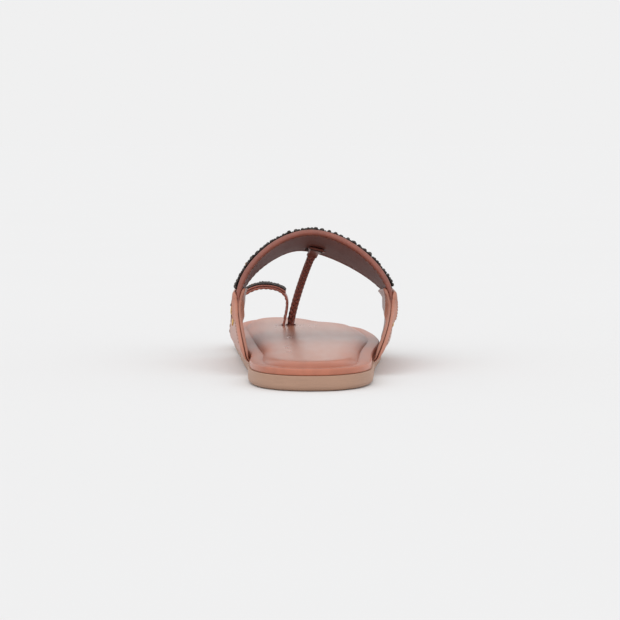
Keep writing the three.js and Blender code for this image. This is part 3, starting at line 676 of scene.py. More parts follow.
def ear_ends(side, drop_below=0.0):
    def top(v):
        from_corner = np.maximum(0, EAR_CORNER - np.minimum(v, 1 - v) * STRAP.width)
        drop = EAR_CORNER - np.sqrt(EAR_CORNER**2 - from_corner**2)
        return STRAP.share(side, EAR_HEIGHT - drop_below - drop, v)

    return [top, lambda v: STRAP.share(side, -FLANGE_REACH, v)]


def ear_route(side):
    """The line of stitches just inside a flap's edge, as shares of the strap."""
    left = STITCH_MARGIN
    right = STRAP.width - STITCH_MARGIN
    top = EAR_HEIGHT - OUTER_DROP - STITCH_MARGIN
    turn = np.linspace(0, math.pi / 2, 12)
    inward = STITCH_TURN * (1 - np.cos(turn))
    down = STITCH_TURN * (1 - np.sin(turn))
    round_left = np.stack([left + inward, top - down], 1)
    round_right = np.stack([right - inward[::-1], top - down[::-1]], 1)
    route = np.concatenate([[[left, 4]], round_left, round_right, [[right, 4]]])
    run = run_along(route)
    route = read_at(np.linspace(0, run[-1], 300), run, route)
    v = route[:, 0] / STRAP.width
    return STRAP.share(side, route[:, 1], v), v, route[:, 1]


def arch_line(arch, s, v, offset, outward=1):
    return arch.at(s, v, offset), outward * arch.normal(s, v)


# ---- Thong ----
LEAF_OFFSET = -(HALF_STRAP + GAP + LEAF_THICKNESS / 2)
LEAF_END_V = 1 - LEAF_END / STRAP.width


def leaf_point(x, v, h):
    return STRAP.at(LEAF_PLACE + x / STRAP.height(LATERAL, v), v, LEAF_OFFSET + h)


class Thong:
    """The thong's middle line from under the strap to the footbed, with frames along it."""

    def __init__(self):
        start = leaf_point(0.0, LEAF_END_V, 0.0)
        ahead = unit(start - leaf_point(0.0, LEAF_END_V - 0.05, 0.0))
        across = unit(leaf_point(1.0, LEAF_END_V, 0.0) - leaf_point(-1.0, LEAF_END_V, 0.0))
        level = FOOTBED_TOP + float(toe_spring(BRAID_FOOT[1])) + 0.6 + GAP + 1.15
        foot = np.array([*BRAID_FOOT, level])
        line = bezier([start, start + 2 * NECK_LENGTH * ahead, foot + (2.5, -6, 15), foot], 400)
        line = np.concatenate([line, bezier([foot, foot - (0, 0, 1.5), foot - (0, 0, 3.4)], 30)[1:]])
        run = run_along(line)
        self.length = run[-1]
        self.share = run / run[-1]
        self.line = line
        self.along = unit(np.gradient(line, axis=0))
        turned = mix(across, np.array([1, 0, 0]), self.share[:, None])
        turned = turned - np.sum(turned * self.along, axis=1, keepdims=True) * self.along
        self.across = unit(turned)
        self.through = np.cross(self.across, self.along)

    def at(self, share, x, h):
        share, x, h = np.broadcast_arrays(share, x, h)
        tables = (self.line, self.across, self.through)
        middle, across, through = (read_at(share, self.share, table) for table in tables)
        return middle + across * x[..., None] + through * h[..., None]


THONG = Thong()
NECK_SHARE = NECK_LENGTH / THONG.length


# ---- Shader expressions ----
class Signal:
    """A socket of a material's nodes. An expression on signals adds its Math nodes."""

    def __init__(self, finish, socket):
        self.finish = finish
        self.socket = socket

    def math(self, operation, *others):
        return self.finish.node("ShaderNodeMath", {"operation": operation}, dict(enumerate((self, *others))))

    def __add__(self, other):
        return self.math("ADD", other)

    __radd__ = __add__

    def __mul__(self, other):
        return self.math("MULTIPLY", other)

    __rmul__ = __mul__

    def __sub__(self, other):
        return self.math("SUBTRACT", other)

    def __rsub__(self, other):
        return self * -1 + other

    def __truediv__(self, other):
        return self.math("DIVIDE", other)

    def __rtruediv__(self, other):
        return self.finish.node("ShaderNodeMath", {"operation": "DIVIDE"}, {0: other, 1: self})


class Finish:
    """A material, made of nodes."""

    def __init__(self, name):
        self.material = bpy.data.materials.new(name)
        self.material.use_nodes = True
        self.material.node_tree.nodes.clear()

    def node(self, kind, settings=None, sockets=None, output=0):
        """Adds a node: its settings first, a ramp's stops among them, then its sockets' values or links."""
        made = self.material.node_tree.nodes.new(kind)
        for name, value in (settings or {}).items():
            if name == "stops":
                ramp = made.color_ramp.elements
                for index, (place, level) in enumerate(value):
                    stop = ramp[index] if index < len(ramp) else ramp.new(place)
                    stop.position = place
                    stop.color = (level, level, level, 1)
            else:
                setattr(made, name, value)
        for name, value in (sockets or {}).items():
            if isinstance(value, Signal):
                self.material.node_tree.links.new(value.socket, made.inputs[name])
            else:
                made.inputs[name].default_value = value
        return Signal(self, made.outputs[output])

    def place(self, stretch=(1, 1, 1)):
        """Where a point is on the object, in metres, stretched along each axis."""
        at = self.node("ShaderNodeTexCoord", {}, {}, "Object")
        return self.node("ShaderNodeVectorMath", {"operation": "MULTIPLY"}, {0: at, 1: stretch})

    def noise(self, scale, detail=3, rough=0.5, twist=0.0, stretch=(1, 1, 1)):
        sockets = {"Vector": self.place(stretch), "Scale": scale, "Detail": detail, "Roughness": rough}
        return self.node("ShaderNodeTexNoise", {}, {**sockets, "Distortion": twist}, "Fac")

    def cells(self, scale, feature="F1"):
        sockets = {"Vector": self.place(), "Scale": scale}
        return self.node("ShaderNodeTexVoronoi", {"feature": feature}, sockets, "Distance")

    def ramp(self, signal, *stops):
        return self.node("ShaderNodeValToRGB", {"stops": stops}, {"Fac": signal})

    def blend(self, share, a, b):
        """One colour or another."""
        first, second = (c if isinstance(c, Signal) else (*c[:3], 1) for c in (a, b))
        return self.node("ShaderNodeMix", {"data_type": "RGBA"}, {0: share, 6: first, 7: second}, 2)

    def mark(self, name):
        return self.node("ShaderNodeAttribute", {"attribute_name": name}, {}, "Fac")

    def bump(self, height, depth):
        """A normal from a height between 0 and 1, worth a depth in metres."""
        sockets = {"Strength": 1.0, "Distance": depth, "Height": height}
        return self.node("ShaderNodeBump", {}, sockets, "Normal")

    def surface(self, colour, roughness, normal, **fixed):
        sockets = {"Base Color": colour, "Roughness": roughness, "Normal": normal}
        sockets.update({name.replace("_", " "): value for name, value in fixed.items()})
        shader = self.node("ShaderNodeBsdfPrincipled", {}, sockets, "BSDF")
        end = self.material.node_tree.nodes.new("ShaderNodeOutputMaterial")
        self.material.node_tree.links.new(shader.socket, end.inputs["Surface"])
        return self.material


def toned(colour, factor):
    return tuple(min(1.0, c * factor) for c in colour[:3])


def leather(
    name, colour, rough=0.42, pebble=1000, depth=0.00012, coat=0.2, wear_and_sheen_tone=1.5, smudge=0.35, gleam=0.45
):
    """Grained leather: pebbles with fine pores, cloudy dye, creases and lighter edges from wear; on the
    braid's laces the same lightening is a painted highlight on their crowns.
    """
    f = Finish(name)
    pebbles = 1 - f.ramp(f.cells(pebble), (0.15, 0), (0.62, 1))
    pores = f.noise(pebble * 3.1, 4, 0.7)
    cloud = f.noise(38, 5, 0.62, 0.4)
    streak = f.noise(160, 4, 0.6, 1.2, (1, 0.35, 1))
    crease = f.ramp(f.cells(pebble * 0.16, "DISTANCE_TO_EDGE"), (0.0, 1), (0.035, 0))
    shade = f.ramp(cloud * 0.65 + streak * 0.35, (0.32, 0), (0.68, 1))
    dyed = f.blend(shade, toned(colour, 1 - smudge), toned(colour, 1 + 0.6 * smudge))
    pits = f.ramp(pores * 0.5 + pebbles * 0.5, (0.3, 0.3), (0.75, 0))
    grained = f.blend(pits, dyed, toned(colour, 0.62))
    # Lighter where the edge mark is: wear along cut edges, and on the braid's laces a painted highlight on
    # their crowns.
    wear_and_sheen = f.mark("edge") * f.ramp(streak, (0.3, 0.45), (0.7, 1))
    final = f.blend(wear_and_sheen * 0.65, grained, toned(colour, wear_and_sheen_tone))
    height = pebbles * 0.55 + pores * 0.3 + streak * 0.3 - crease * 0.12
    sheen = rough + 0.16 * (cloud - 0.5) + 0.12 * (pores - 0.5)
    normal = f.bump(height, depth)
    return f.surface(
        final, sheen, normal, Coat_Weight=coat, Coat_Roughness=0.32, Specular_IOR_Level=gleam
    )


def footbed_leather(name, colour):
    """Smooth polished leather, shinier in the middle and painted paler there as a painted sheen, and painted
    darker in its border, along the groove at the foot of the cushion, as painted shade."""
    f = Finish(name)
    inset = f.mark("tint")
    pebbles = 1 - f.ramp(f.cells(1300), (0.1, 0), (0.6, 1))
    pores = f.noise(3600, 4, 0.7)
    cloud = f.noise(26, 4, 0.5, 0.0)
    brushed = f.noise(210, 2, 0.4, 0.0, (1, 0.16, 1))
    inwards = inset / 26
    middle = f.ramp(inwards, (0.34, 0), (0.75, 1))
    # Painted shade: a darker band along the groove where the cushion rises from the border.
    groove_band = f.ramp(inwards, (0.22, 0), (0.29, 1), (0.32, 1), (0.42, 0))
    shade = f.ramp(cloud * 0.6 + brushed * 0.4, (0.33, 0), (0.67, 1))
    dyed = f.blend(shade, toned(colour, 0.8), toned(colour, 1.16))
    # Painted sheen: the middle is painted paler and less red, more so where the cloud noise is high.
    wear_and_sheen = f.blend(middle * (0.45 + 0.4 * cloud), dyed, (0.56, 0.27, 0.185))
    border = f.blend(groove_band * 0.35, wear_and_sheen, toned(colour, 0.66))
    final = f.blend(f.ramp(pores, (0.35, 0.35), (0.6, 0)), border, toned(colour, 0.66))
    height = pebbles * 0.35 + pores * 0.3 + brushed * 0.35
    rough = 0.4 - 0.1 * middle + 0.16 * (cloud - 0.5) + 0.1 * (brushed - 0.5)
    normal = f.bump(height, 0.00006)
    return f.surface(final, rough, normal, Coat_Weight=0.25, Coat_Roughness=0.25, Specular_IOR_Level=0.5)


def sole_rubber(name, colour):
    """Moulded rubber: fine speckle, faint buffing round its wall, and darker towards the ground."""
    f = Finish(name)
    speckle = f.noise(2600, 4, 0.75)
    buffed = f.noise(420, 4, 0.6, 0.2, (0.2, 0.2, 3))
    cloud = f.noise(30, 4, 0.6)
    split = f.node("ShaderNodeSeparateXYZ", {}, {"Vector": f.place()}, "Z")
    # Darker over the lowest few millimetres of the wall, towards the ground.
    darker_near_ground = 1 - f.ramp(split * 160, (0.0, 0), (0.55, 1))
    shade = f.ramp(speckle * 0.4 + buffed * 0.3 + cloud * 0.3, (0.35, 0), (0.65, 1))
    toned_rubber = f.blend(shade, toned(colour, 0.86), toned(colour, 1.1))
    final = f.blend(darker_near_ground * 0.3, toned_rubber, toned(colour, 0.72))
    height = speckle * 0.5 + buffed * 0.5
    rough = 0.52 + 0.18 * (cloud - 0.5) + 0.12 * (speckle - 0.5)
    return f.surface(final, rough, f.bump(height, 0.00007), Specular_IOR_Level=0.4)


def bead_glass(name):
    """Cut glass beads: jet, gunmetal and bronze, chosen by each bead's tint."""
    f = Finish(name)
    tint = f.mark("tint")
    grime = f.noise(900, 4, 0.65)
    gunmetal = f.ramp(tint, (0.60, 0), (0.66, 1), (0.84, 1), (0.88, 0))
    bronze = f.ramp(tint, (0.86, 0), (0.9, 1))
    jet = f.blend(grime, (0.012, 0.008, 0.007), (0.045, 0.028, 0.023))
    metal = f.blend(gunmetal, jet, (0.085, 0.074, 0.068))
    final = f.blend(bronze, metal, (0.26, 0.13, 0.055))
    rough = 0.3 + 0.25 * grime
    normal = f.bump(grime, 0.00008)
    metallic = 0.85 * (gunmetal + bronze).math("MINIMUM", 1.0)
    gloss = {"Coat_Weight": 0.12, "Coat_Roughness": 0.2, "Specular_IOR_Level": 0.35}
    return f.surface(final, rough, normal, Metallic=metallic, **gloss)


def thread_finish(name, colour, metallic=0.0, rough=0.55, twist=5200):
    """Twisted thread."""
    f = Finish(name)
    settings = {"wave_type": "BANDS", "bands_direction": "DIAGONAL"}
    sockets = {"Vector": f.place(), "Scale": twist, "Distortion": 1.5}
    plies = f.node("ShaderNodeTexWave", settings, sockets, "Fac")
    fluff = f.noise(4200, 3, 0.7)
    tint = f.mark("tint")
    # The tint mark gives each stitch its own tone; on the rosettes it is a painted highlight on each petal's
    # raised middle and painted shade on its outer strands.
    shade = f.blend(plies * 0.55 + tint * 0.35, toned(colour, 0.62), toned(colour, 1.25))
    final = f.blend(fluff * 0.3, shade, toned(colour, 0.7))
    level = rough + 0.2 * (fluff - 0.5)
    return f.surface(final, level, f.bump(plies * 0.7 + fluff * 0.3, 0.00008), Metallic=metallic)


def foam_finish(name, colour):
    """Open-celled foam."""
    f = Finish(name)
    cells = f.cells(1500)
    cloud = f.noise(60, 4, 0.6)
    shade = f.ramp(cells * 0.7 + cloud * 0.3, (0.2, 0), (0.6, 1))
    final = f.blend(shade, toned(colour, 1.1), toned(colour, 0.7))
    return f.surface(final, 0.9 + 0.08 * (cloud - 0.5), f.bump(1 - cells, 0.0002))


def fibre_board(name, colour):
    """Pressed fibre board, flecked and fuzzy."""
    f = Finish(name)
    fibres = f.noise(900, 5, 0.7, 1.5, (1, 0.2, 1))
    flecks = f.ramp(f.cells(420), (0.05, 1), (0.14, 0))
    shade = f.blend(f.ramp(fibres, (0.35, 0), (0.65, 1)), toned(colour, 0.72), toned(colour, 1.2))
    final = f.blend(flecks * 0.5, shade, toned(colour, 0.4))
    return f.surface(final, 0.85 + 0.1 * (fibres - 0.5), f.bump(fibres, 0.00015))


def bead_cloth(name, colour):
    """The woven ground under the beads."""
    f = Finish(name)
    warp, weft = (
        f.node("ShaderNodeTexWave", {"bands_direction": way}, {"Vector": f.place(), "Scale": 900.0}, "Fac")
        for way in ("X", "Y")
    )
    fluff = f.noise(2500, 3, 0.7)
    weave = warp * weft
    final = f.blend(weave * 0.6 + fluff * 0.4, toned(colour, 0.6), toned(colour, 1.6))
    return f.surface(final, 0.8 + 0.15 * (fluff - 0.5), f.bump(weave, 0.0001))


# ---- Sizes and colours that a user would change ----
def length(name, description, default):
    return bpy.props.FloatProperty(
        name=name,
        description=description,
        default=default,
        min=0,
        unit="LENGTH",
        subtype="DISTANCE",
        precision=5,
    )


def colour(name, description, default):
    return bpy.props.FloatVectorProperty(
        name=name, description=description, default=default, min=0, max=1, size=3, subtype="COLOR"
    )


class SandalSizes(bpy.types.PropertyGroup):
    """Sizes of the sandal's finer parts."""

    bead_width: length("Bead width", "Across one bead on the instep strap", 0.0021)
    bead_pitch: length("Bead row pitch", "From one row of beads to the next", 0.00178)
    stitch_pitch: length("Stitch pitch", "From one stitch to the next", 0.003)
    stitch_length: length("Stitch length", "Length of one stitch", 0.0023)
    thread_width: length("Thread width", "Thickness of the sewing thread", 0.00058)
    lace_width: length("Lace width", "Width of one lace of the braided thong", 0.002)
    lace_thickness: length("Lace thickness", "Thickness of one lace of the braided thong", 0.0016)
    tread_depth: length("Tread depth", "Depth of the grooves under the sole", 0.001)
    petals: bpy.props.IntProperty(
        name="Petals", description="Petals of each flap's rosette", default=8, min=4, max=14
    )


class SandalColours(bpy.types.PropertyGroup):
    """Colours of the sandal's materials."""

    footbed: colour("Footbed", "Leather over the insole", (0.49, 0.163, 0.094))
    flaps: colour("Flaps", "Leather of the side flaps", (0.47, 0.19, 0.125))
    strap: colour("Strap", "Leather of the straps and their rolled edges", (0.31, 0.1, 0.07))
    # The lining is darker than the strap leather; part of that is its own darker tone and part is painted
    # shade for the strap's underside.
    lining: colour("Lining", "Leather inside the instep strap", (0.15, 0.04, 0.032))
    braid: colour("Braid", "Laces of the thong", (0.2, 0.066, 0.05))
    rubber: colour("Outsole", "Rubber of the outsole", (0.44, 0.265, 0.185))
    gold: colour("Gold thread", "Thread of the rosettes", (0.85, 0.5, 0.14))
    thread: colour("Thread", "Sewing thread", (0.36, 0.16, 0.1))


def sizes():
    return bpy.context.scene.sandal_sizes


def colours():
    return bpy.context.scene.sandal_colours


def millimetres(value):
    return 1000 * value


def stitch_spacing():
    """The pitch and length of stitches."""
    return millimetres(sizes().stitch_pitch), millimetres(sizes().stitch_length)


# ---- Pieces ----
class BuildOutsole(bpy.types.Operator):
    """Moulded outsole with its tread and the hollows for what turns in under the insole"""

    bl_idname = "sandal.outsole"
    bl_label = "Outsole"

    def execute(self, context):
        shape = Shape()
        wall = OUTSOLE_THICKNESS - WALL_ROUND
        profile = middle_rows(OUTSOLE_THICKNESS) + [(12, 0, OUTSOLE_THICKNESS), (5, 0, OUTSOLE_THICKNESS)]
        profile += [(1.4, 0, OUTSOLE_THICKNESS)] + rounded((WALL_ROUND, wall), WALL_ROUND, 90, 0)
        profile += [(0, 0, wall - 0.4), (0.06, 0, 4.6), (0.06, 0, 3.4), (0, 0, OUTSOLE_ROUND + 0.4)]
        profile += rounded((OUTSOLE_ROUND, OUTSOLE_ROUND), OUTSOLE_ROUND, 0, -90, 8)
        profile += [(5, 0, 0), (12, 0, 0)] + middle_rows(0, upward=True)
        sole_layer(shape, profile, 170)
        finish = sole_rubber("outsole_rubber_finish", colours().rubber)
        piece = make_piece("outsole_moulded", shape, finish, ["outsole"])
        rear, front = LOOP_Y - LOOP_WIDTH / 2, LOOP_Y + LOOP_WIDTH / 2
        reach = FLANGE_LENGTH + 2 * FLANGE_BEND
        root = ROOT_WIDTH / 2 + POCKET_SLACK
        root_x, root_y = BRAID_FOOT

        def beside(side):
            return lambda y: [edge_x(side, y) - side * reach, edge_x(side, y) + side * reach]

        hollows = [
            pocket_box(STRAP_FOOT_REAR, STRAP_FOOT_FRONT, beside(MEDIAL)),
            pocket_box(STRAP_FOOT_REAR, STRAP_FOOT_FRONT, beside(LATERAL)),
            pocket_box(rear, front, beside(MEDIAL)),
            pocket_box(rear, front, lambda y: [LOOP_LEG_X - reach, LOOP_LEG_X + 1]),
            pocket_box(root_y - reach, root_y + 1, lambda y: [root_x - root, root_x + root]),
        ]
        for hollow in hollows:
            carve(piece, [hollow], 30)
        carve(piece, tread_boxes(millimetres(sizes().tread_depth)), 30)
        return {"FINISHED"}


class BuildInsole(bpy.types.Operator):
    """Insole: board, padding and the leather cover wrapped round them"""

    bl_idname = "sandal.insole"
    bl_label = "Insole"

    def execute(self, context):
        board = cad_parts["insole_board"]
        board.data.materials.clear()
        board.data.materials.append(fibre_board("fibre_board_finish", (0.36, 0.27, 0.17)))

        padding = Shape()
        edge = RIM_INSET + BORDER_WIDTH
        profile = padding_top(0) + [(edge, 0, BORDER_BOTTOM), (16, 0, BORDER_BOTTOM)]
        sole_layer(padding, profile + middle_rows(BORDER_BOTTOM, upward=True), 150)
        foam = foam_finish("foam_finish", (0.68, 0.6, 0.46))
        cushion = make_piece("footbed_padding", padding, foam, ["footbed_cushion"])
        carve(cushion, footbed_slots())

        cover = Shape()
        inner = RIM_INSET + COVER_THICKNESS
        top = padding_top(GAP + COVER_THICKNESS)
        crease = RIM_INSET + BORDER_WIDTH - GAP - COVER_THICKNESS
        profile = top[:-1]
        profile += [(crease, 0, BORDER_TOP - 0.12), (crease - 0.5, 0, BORDER_TOP - 0.16)]
        profile += [(crease - 1.1, 0, BORDER_TOP), (crease - 2.4, 0, BORDER_TOP + 0.1)]
        profile += [(3.6, 0, BORDER_TOP + 0.1), (2.6, 0, BORDER_TOP + 0.03)]
        profile += rounded((RIM_INSET + 0.9, BORDER_TOP - 0.9), 0.9, 80, 0, 7)
        profile += [(RIM_INSET - 0.05, 0, 9.2)]
        profile += rounded((RIM_INSET + 0.45, MARGIN_BOTTOM + 0.3), 0.45, 0, -90, 6)
        profile += [(4, 0, MARGIN_BOTTOM - 0.15), (UNDERLAP, 0, MARGIN_BOTTOM - 0.1)]
        profile += [(UNDERLAP, 0, MARGIN_TOP), (inner + 0.4, 0, MARGIN_TOP)]
        profile += [(inner, 0, MARGIN_TOP + 0.4), (inner, 0, BORDER_BOTTOM - 0.4)]
        profile += [(inner + 0.4, 0, BORDER_BOTTOM - 0.02)]
        profile += [(RIM_INSET + BORDER_WIDTH - GAP, 0, BORDER_BOTTOM)]
        profile += padding_top(GAP)[::-1]
        sole_layer(cover, profile, 240, wave=0.13)
        tan = footbed_leather("footbed_leather", colours().footbed)
        piece = make_piece("footbed_leather_cover", cover, tan, ["insole_cover"], crease=50)
        carve(piece, footbed_slots(), 50)
        return {"FINISHED"}


class BuildStrap(bpy.types.Operator):
    """Instep strap: lining, padding, upper and the two rolled edges"""

    bl_idname = "sandal.strap"
    bl_label = "Instep strap"

    def execute(self, context):
        ends = strap_ends(EAR_HEIGHT - STRAP_TUCK)
        matt = {"rough": 0.55, "pebble": 1250, "coat": 0.04, "wear_and_sheen_tone": 1.25, "gleam": 0.3}
        dark = leather("lining_leather", colours().lining, **matt)
        brown = leather("strap_leather", colours().strap, rough=0.42, pebble=900)

        lining = Shape()
        panel(lining, STRAP, ends, flat_faces(*LINING), HEM - 0.35, 0.35, 1.1, wave=0.07, seed=11)
        make_piece("strap_lining", lining, dark, ["vamp_lining"])

        padding = Shape()
        panel(padding, STRAP, ends, flat_faces(*PADDING), HEM, 0.25, 1.6)
        foam = foam_finish("strap_foam", (0.66, 0.58, 0.45))
        pad = make_piece("strap_padding", padding, foam, ["vamp_padding"])

        upper = Shape()
        panel(upper, STRAP, ends, flat_faces(*UPPER), HEM - 0.35, 0.4, 1.3, wave=0.05, seed=13)
        make_piece("strap_upper", upper, brown, ["vamp_upper"])

        for edge, inward, name in ((0, 1, "rear"), (1, -1, "front")):
            rolled = Shape()
            count, round_count = 220, 20
            turn = 2 * math.pi * np.arange(round_count) / round_count
            share = np.linspace(0, 1, count)[:, None]
            middle_v = edge + inward * PIPING_RADIUS / STRAP.width
            s = mix(ends[0](middle_v), ends[1](middle_v), share)
            middle = STRAP.at(s, middle_v, 0)
            tight = 1 + 0.045 * ripple(middle, 4.5, 17 + edge) + 0.03 * ripple(middle, 1.6, 19 + edge)
            tight = tight * mix(0.12, 1, ease((STRAP.arc(s, middle_v) - EAR_HEIGHT + 7) / 8))
            reach = PIPING_RADIUS * tight * np.cos(turn)
            v = edge + inward * (PIPING_RADIUS + reach) / STRAP.width
            s = np.broadcast_to(mix(ends[0](v), ends[1](v), share), v.shape)
            points = STRAP.at(s, v, PIPING_RADIUS * tight * np.sin(turn) * 1.08)
            seam = np.exp(-((np.abs(turn - math.pi * (edge == 0)) % math.pi) ** 2) / 0.05) + 0 * s
            rolled.add(points, tube_faces(count, round_count), edge=0.35 * seam)
            stands_for = ["vamp_" + name + "_piping"]
            make_piece("strap_" + name + "_rolled_edge", rolled, brown, stands_for)

        thread = thread_finish("hem_thread", colours().thread)
        hem = Shape()
        reach = strap_ends(EAR_HEIGHT + 0.8)
        sewn_at = (HEM + HEM_STITCH_MARGIN) / STRAP.width
        for v in sewn_at, 1 - sewn_at:
            s = np.linspace(reach[0](v), reach[1](v), 900)
            line, ups = arch_line(STRAP, s, v + 0 * s, LINING[0] - 0.05, outward=-1)
            radius = millimetres(sizes().thread_width) / 3.4
            stitch(hem, line, ups, *stitch_spacing(), radius, seed=23)
        make_piece("strap_hem_stitches", hem, thread)
        return {"FINISHED"}


def bead_rows(arch, ends, margin, width, pitch, seed):
    """Places of beads in staggered rows across a strap, as shares, and where each is in millimetres."""
    chance = np.random.default_rng(seed)
    rows = max(2, round((arch.width - 2 * margin - width) / pitch) + 1)
    found = []
    for row, b in enumerate(np.linspace(margin + width / 2, arch.width - margin - width / 2, rows)):
        v = b / arch.width
        start, end = float(ends[0](v)), float(ends[1](v))
        reach = (end - start) * float(arch.height(LATERAL, v))
        count = int(reach / (0.88 * width))
        along = (np.arange(count) + (0.5 if row % 2 else 0.0) + 0.25) / (count + 0.3)
        s = mix(start, end, along) + chance.normal(0, 0.05 * width, count) / arch.height(LATERAL, v)
        jitter = chance.normal(0, 0.05 * width, count)
        found.append(np.column_stack([s, (b + jitter) / arch.width, s * arch.height(LATERAL, v), b + jitter]))
    return np.concatenate(found)


def sew_beads(shape, arch, spots, width, offset, seed):
    """Beads sewn on their sides, with a trellis of metallic ones among the jet."""
    chance = np.random.default_rng(seed)
    count = len(spots)
    s, v, a, b = spots.T
    rising = (a + b) % TRELLIS_PITCH
    falling = (a - b) % TRELLIS_PITCH
    trellis = (np.abs(rising - TRELLIS_PITCH / 2) < 1.0) | (np.abs(falling - TRELLIS_PITCH / 2) < 1.0)
    heart = (np.abs(rising) < 1.6) & (np.abs(falling) < 1.6)
    tints = chance.uniform(0, 0.55, count)
    tints[trellis] = chance.uniform(0.68, 0.82, trellis.sum())
    tints[heart] = chance.uniform(0.92, 1, heart.sum())
    stray = chance.uniform(0, 1, count) < 0.05
    tints[stray] = 0.75
    girth = chance.uniform(0.88, 1.12, (count, 1)) * (1 + 0.1 * trellis[:, None])
    size = girth * np.array([0.5, 0.44, 0.4]) * width
    lift = offset + 0.34 * width + chance.normal(0, 0.07 * width, count) + 0.08 * width * trellis
    frames = arch.frames(s, v)
    turn = chance.normal(0, 0.35, count)
    tilt = chance.normal(0, 0.16, count)
    run, across, up = frames[:, 0], frames[:, 1], frames[:, 2]
    turned = np.cos(turn)[:, None] * run + np.sin(turn)[:, None] * across
    tipped = unit(turned + tilt[:, None] * up)
    side = unit(np.cross(up, tipped))
    frames = np.stack([tipped, side, np.cross(tipped, side)], axis=1)
    scatter(shape, BEAD, arch.at(s, v, lift), frames, size, tints)


class BuildBeadwork(bpy.types.Operator):
    """Beadwork over the instep strap, on its ground cloth"""

    bl_idname = "sandal.beadwork"
    bl_label = "Strap beadwork"

    def execute(self, context):
        ends = strap_ends(EAR_HEIGHT - OUTER_DROP + 0.8)
        ground = Shape()
        panel(ground, STRAP, ends, flat_faces(*BEADING), HEM, 0.12, 1.6)
        cloth = bead_cloth("bead_cloth", (0.02, 0.012, 0.01))
        make_piece("strap_bead_cloth", ground, cloth)
        beads = Shape()
        width = millimetres(sizes().bead_width)
        spots = bead_rows(STRAP, ends, HEM - 0.5, width, millimetres(sizes().bead_pitch), 31)
        sew_beads(beads, STRAP, spots, width, BEADING[1] - 0.12, 37)
        make_piece("strap_beads", beads, bead_glass("bead_glass"), ["vamp_beadwork"])
        return {"FINISHED"}


class BuildFlaps(bpy.types.Operator):
    """Side flaps: two layers each, sewn round the ends of the instep strap"""

    bl_idname = "sandal.flaps"
    bl_label = "Side flaps"

    def execute(self, context):
        polished = {"rough": 0.4, "pebble": 850, "coat": 0.25, "wear_and_sheen_tone": 1.18, "smudge": 0.25}
        tan = leather("flap_leather", colours().flaps, **polished)
        darker = toned(colours().flaps, 0.86)
        inner = leather("flap_lining_leather", darker, rough=0.43, pebble=1100, wear_and_sheen_tone=1.1)
        thread = thread_finish("flap_thread", toned(colours().thread, 1.1))

        def groove_band(arc, near):
            groove = np.exp(-(((near - STITCH_MARGIN) / 0.45) ** 2)) * ease((arc - 2) / 3)
            return -0.16 * groove + 0.12 * ease(near / 3)

        for side, name in SIDES.items():
            outer = Shape()
            ends = ear_ends(side, OUTER_DROP)
            panel(outer, STRAP, ends, ear_faces(1), 0, 0.75, 0.9, relief=groove_band, wave=0.06, seed=41)
            make_piece(name + "_flap_outer", outer, tan, [name + "_ear_outer"])
            lining = Shape()
            panel(lining, STRAP, ear_ends(side), ear_faces(-1), 0, 0.65, 1.0, wave=0.05, seed=43)
            make_piece(name + "_flap_lining", lining, inner, [name + "_ear_lining"])
            seam = Shape()
            s, v, arc = ear_route(side)
            face = spread(arc, v) + skive(EAR_OUTER_THICKNESS, arc)
            line, ups = arch_line(STRAP, s, v, face - 0.02)
            radius = millimetres(sizes().thread_width) / 2
            stitch(seam, line, ups, *stitch_spacing(), radius)
            make_piece(name + "_flap_stitches", seam, thread, [name + "_ear_stitching"])
        return {"FINISHED"}


def on_flap(side, x, y, lift):
    """Points and frames on a flap's outer face, x ahead of the rosette's middle and y above it, in
    millimetres."""
    arcs = MOTIF_CENTRE + np.array([0, 0, 0.5, -0.5])
    shares = np.array([0.55, 0.45, 0.5, 0.5])
    corners = STRAP.at(STRAP.share(side, arcs, shares), shares, 0)
    ahead = 10 * (corners[0] - corners[1])
    above = corners[2] - corners[3]
    slant = above @ ahead / (ahead @ ahead)
    rise = np.linalg.norm(above - slant * ahead)
    v = 0.5 + x / np.linalg.norm(ahead) - slant * y / rise
    arc = MOTIF_CENTRE + y / rise
    s = STRAP.share(side, arc, v)
    face = spread(arc, v) + skive(EAR_OUTER_THICKNESS, arc)
    return STRAP.at(s, v, face + lift), STRAP.frames(s, v)


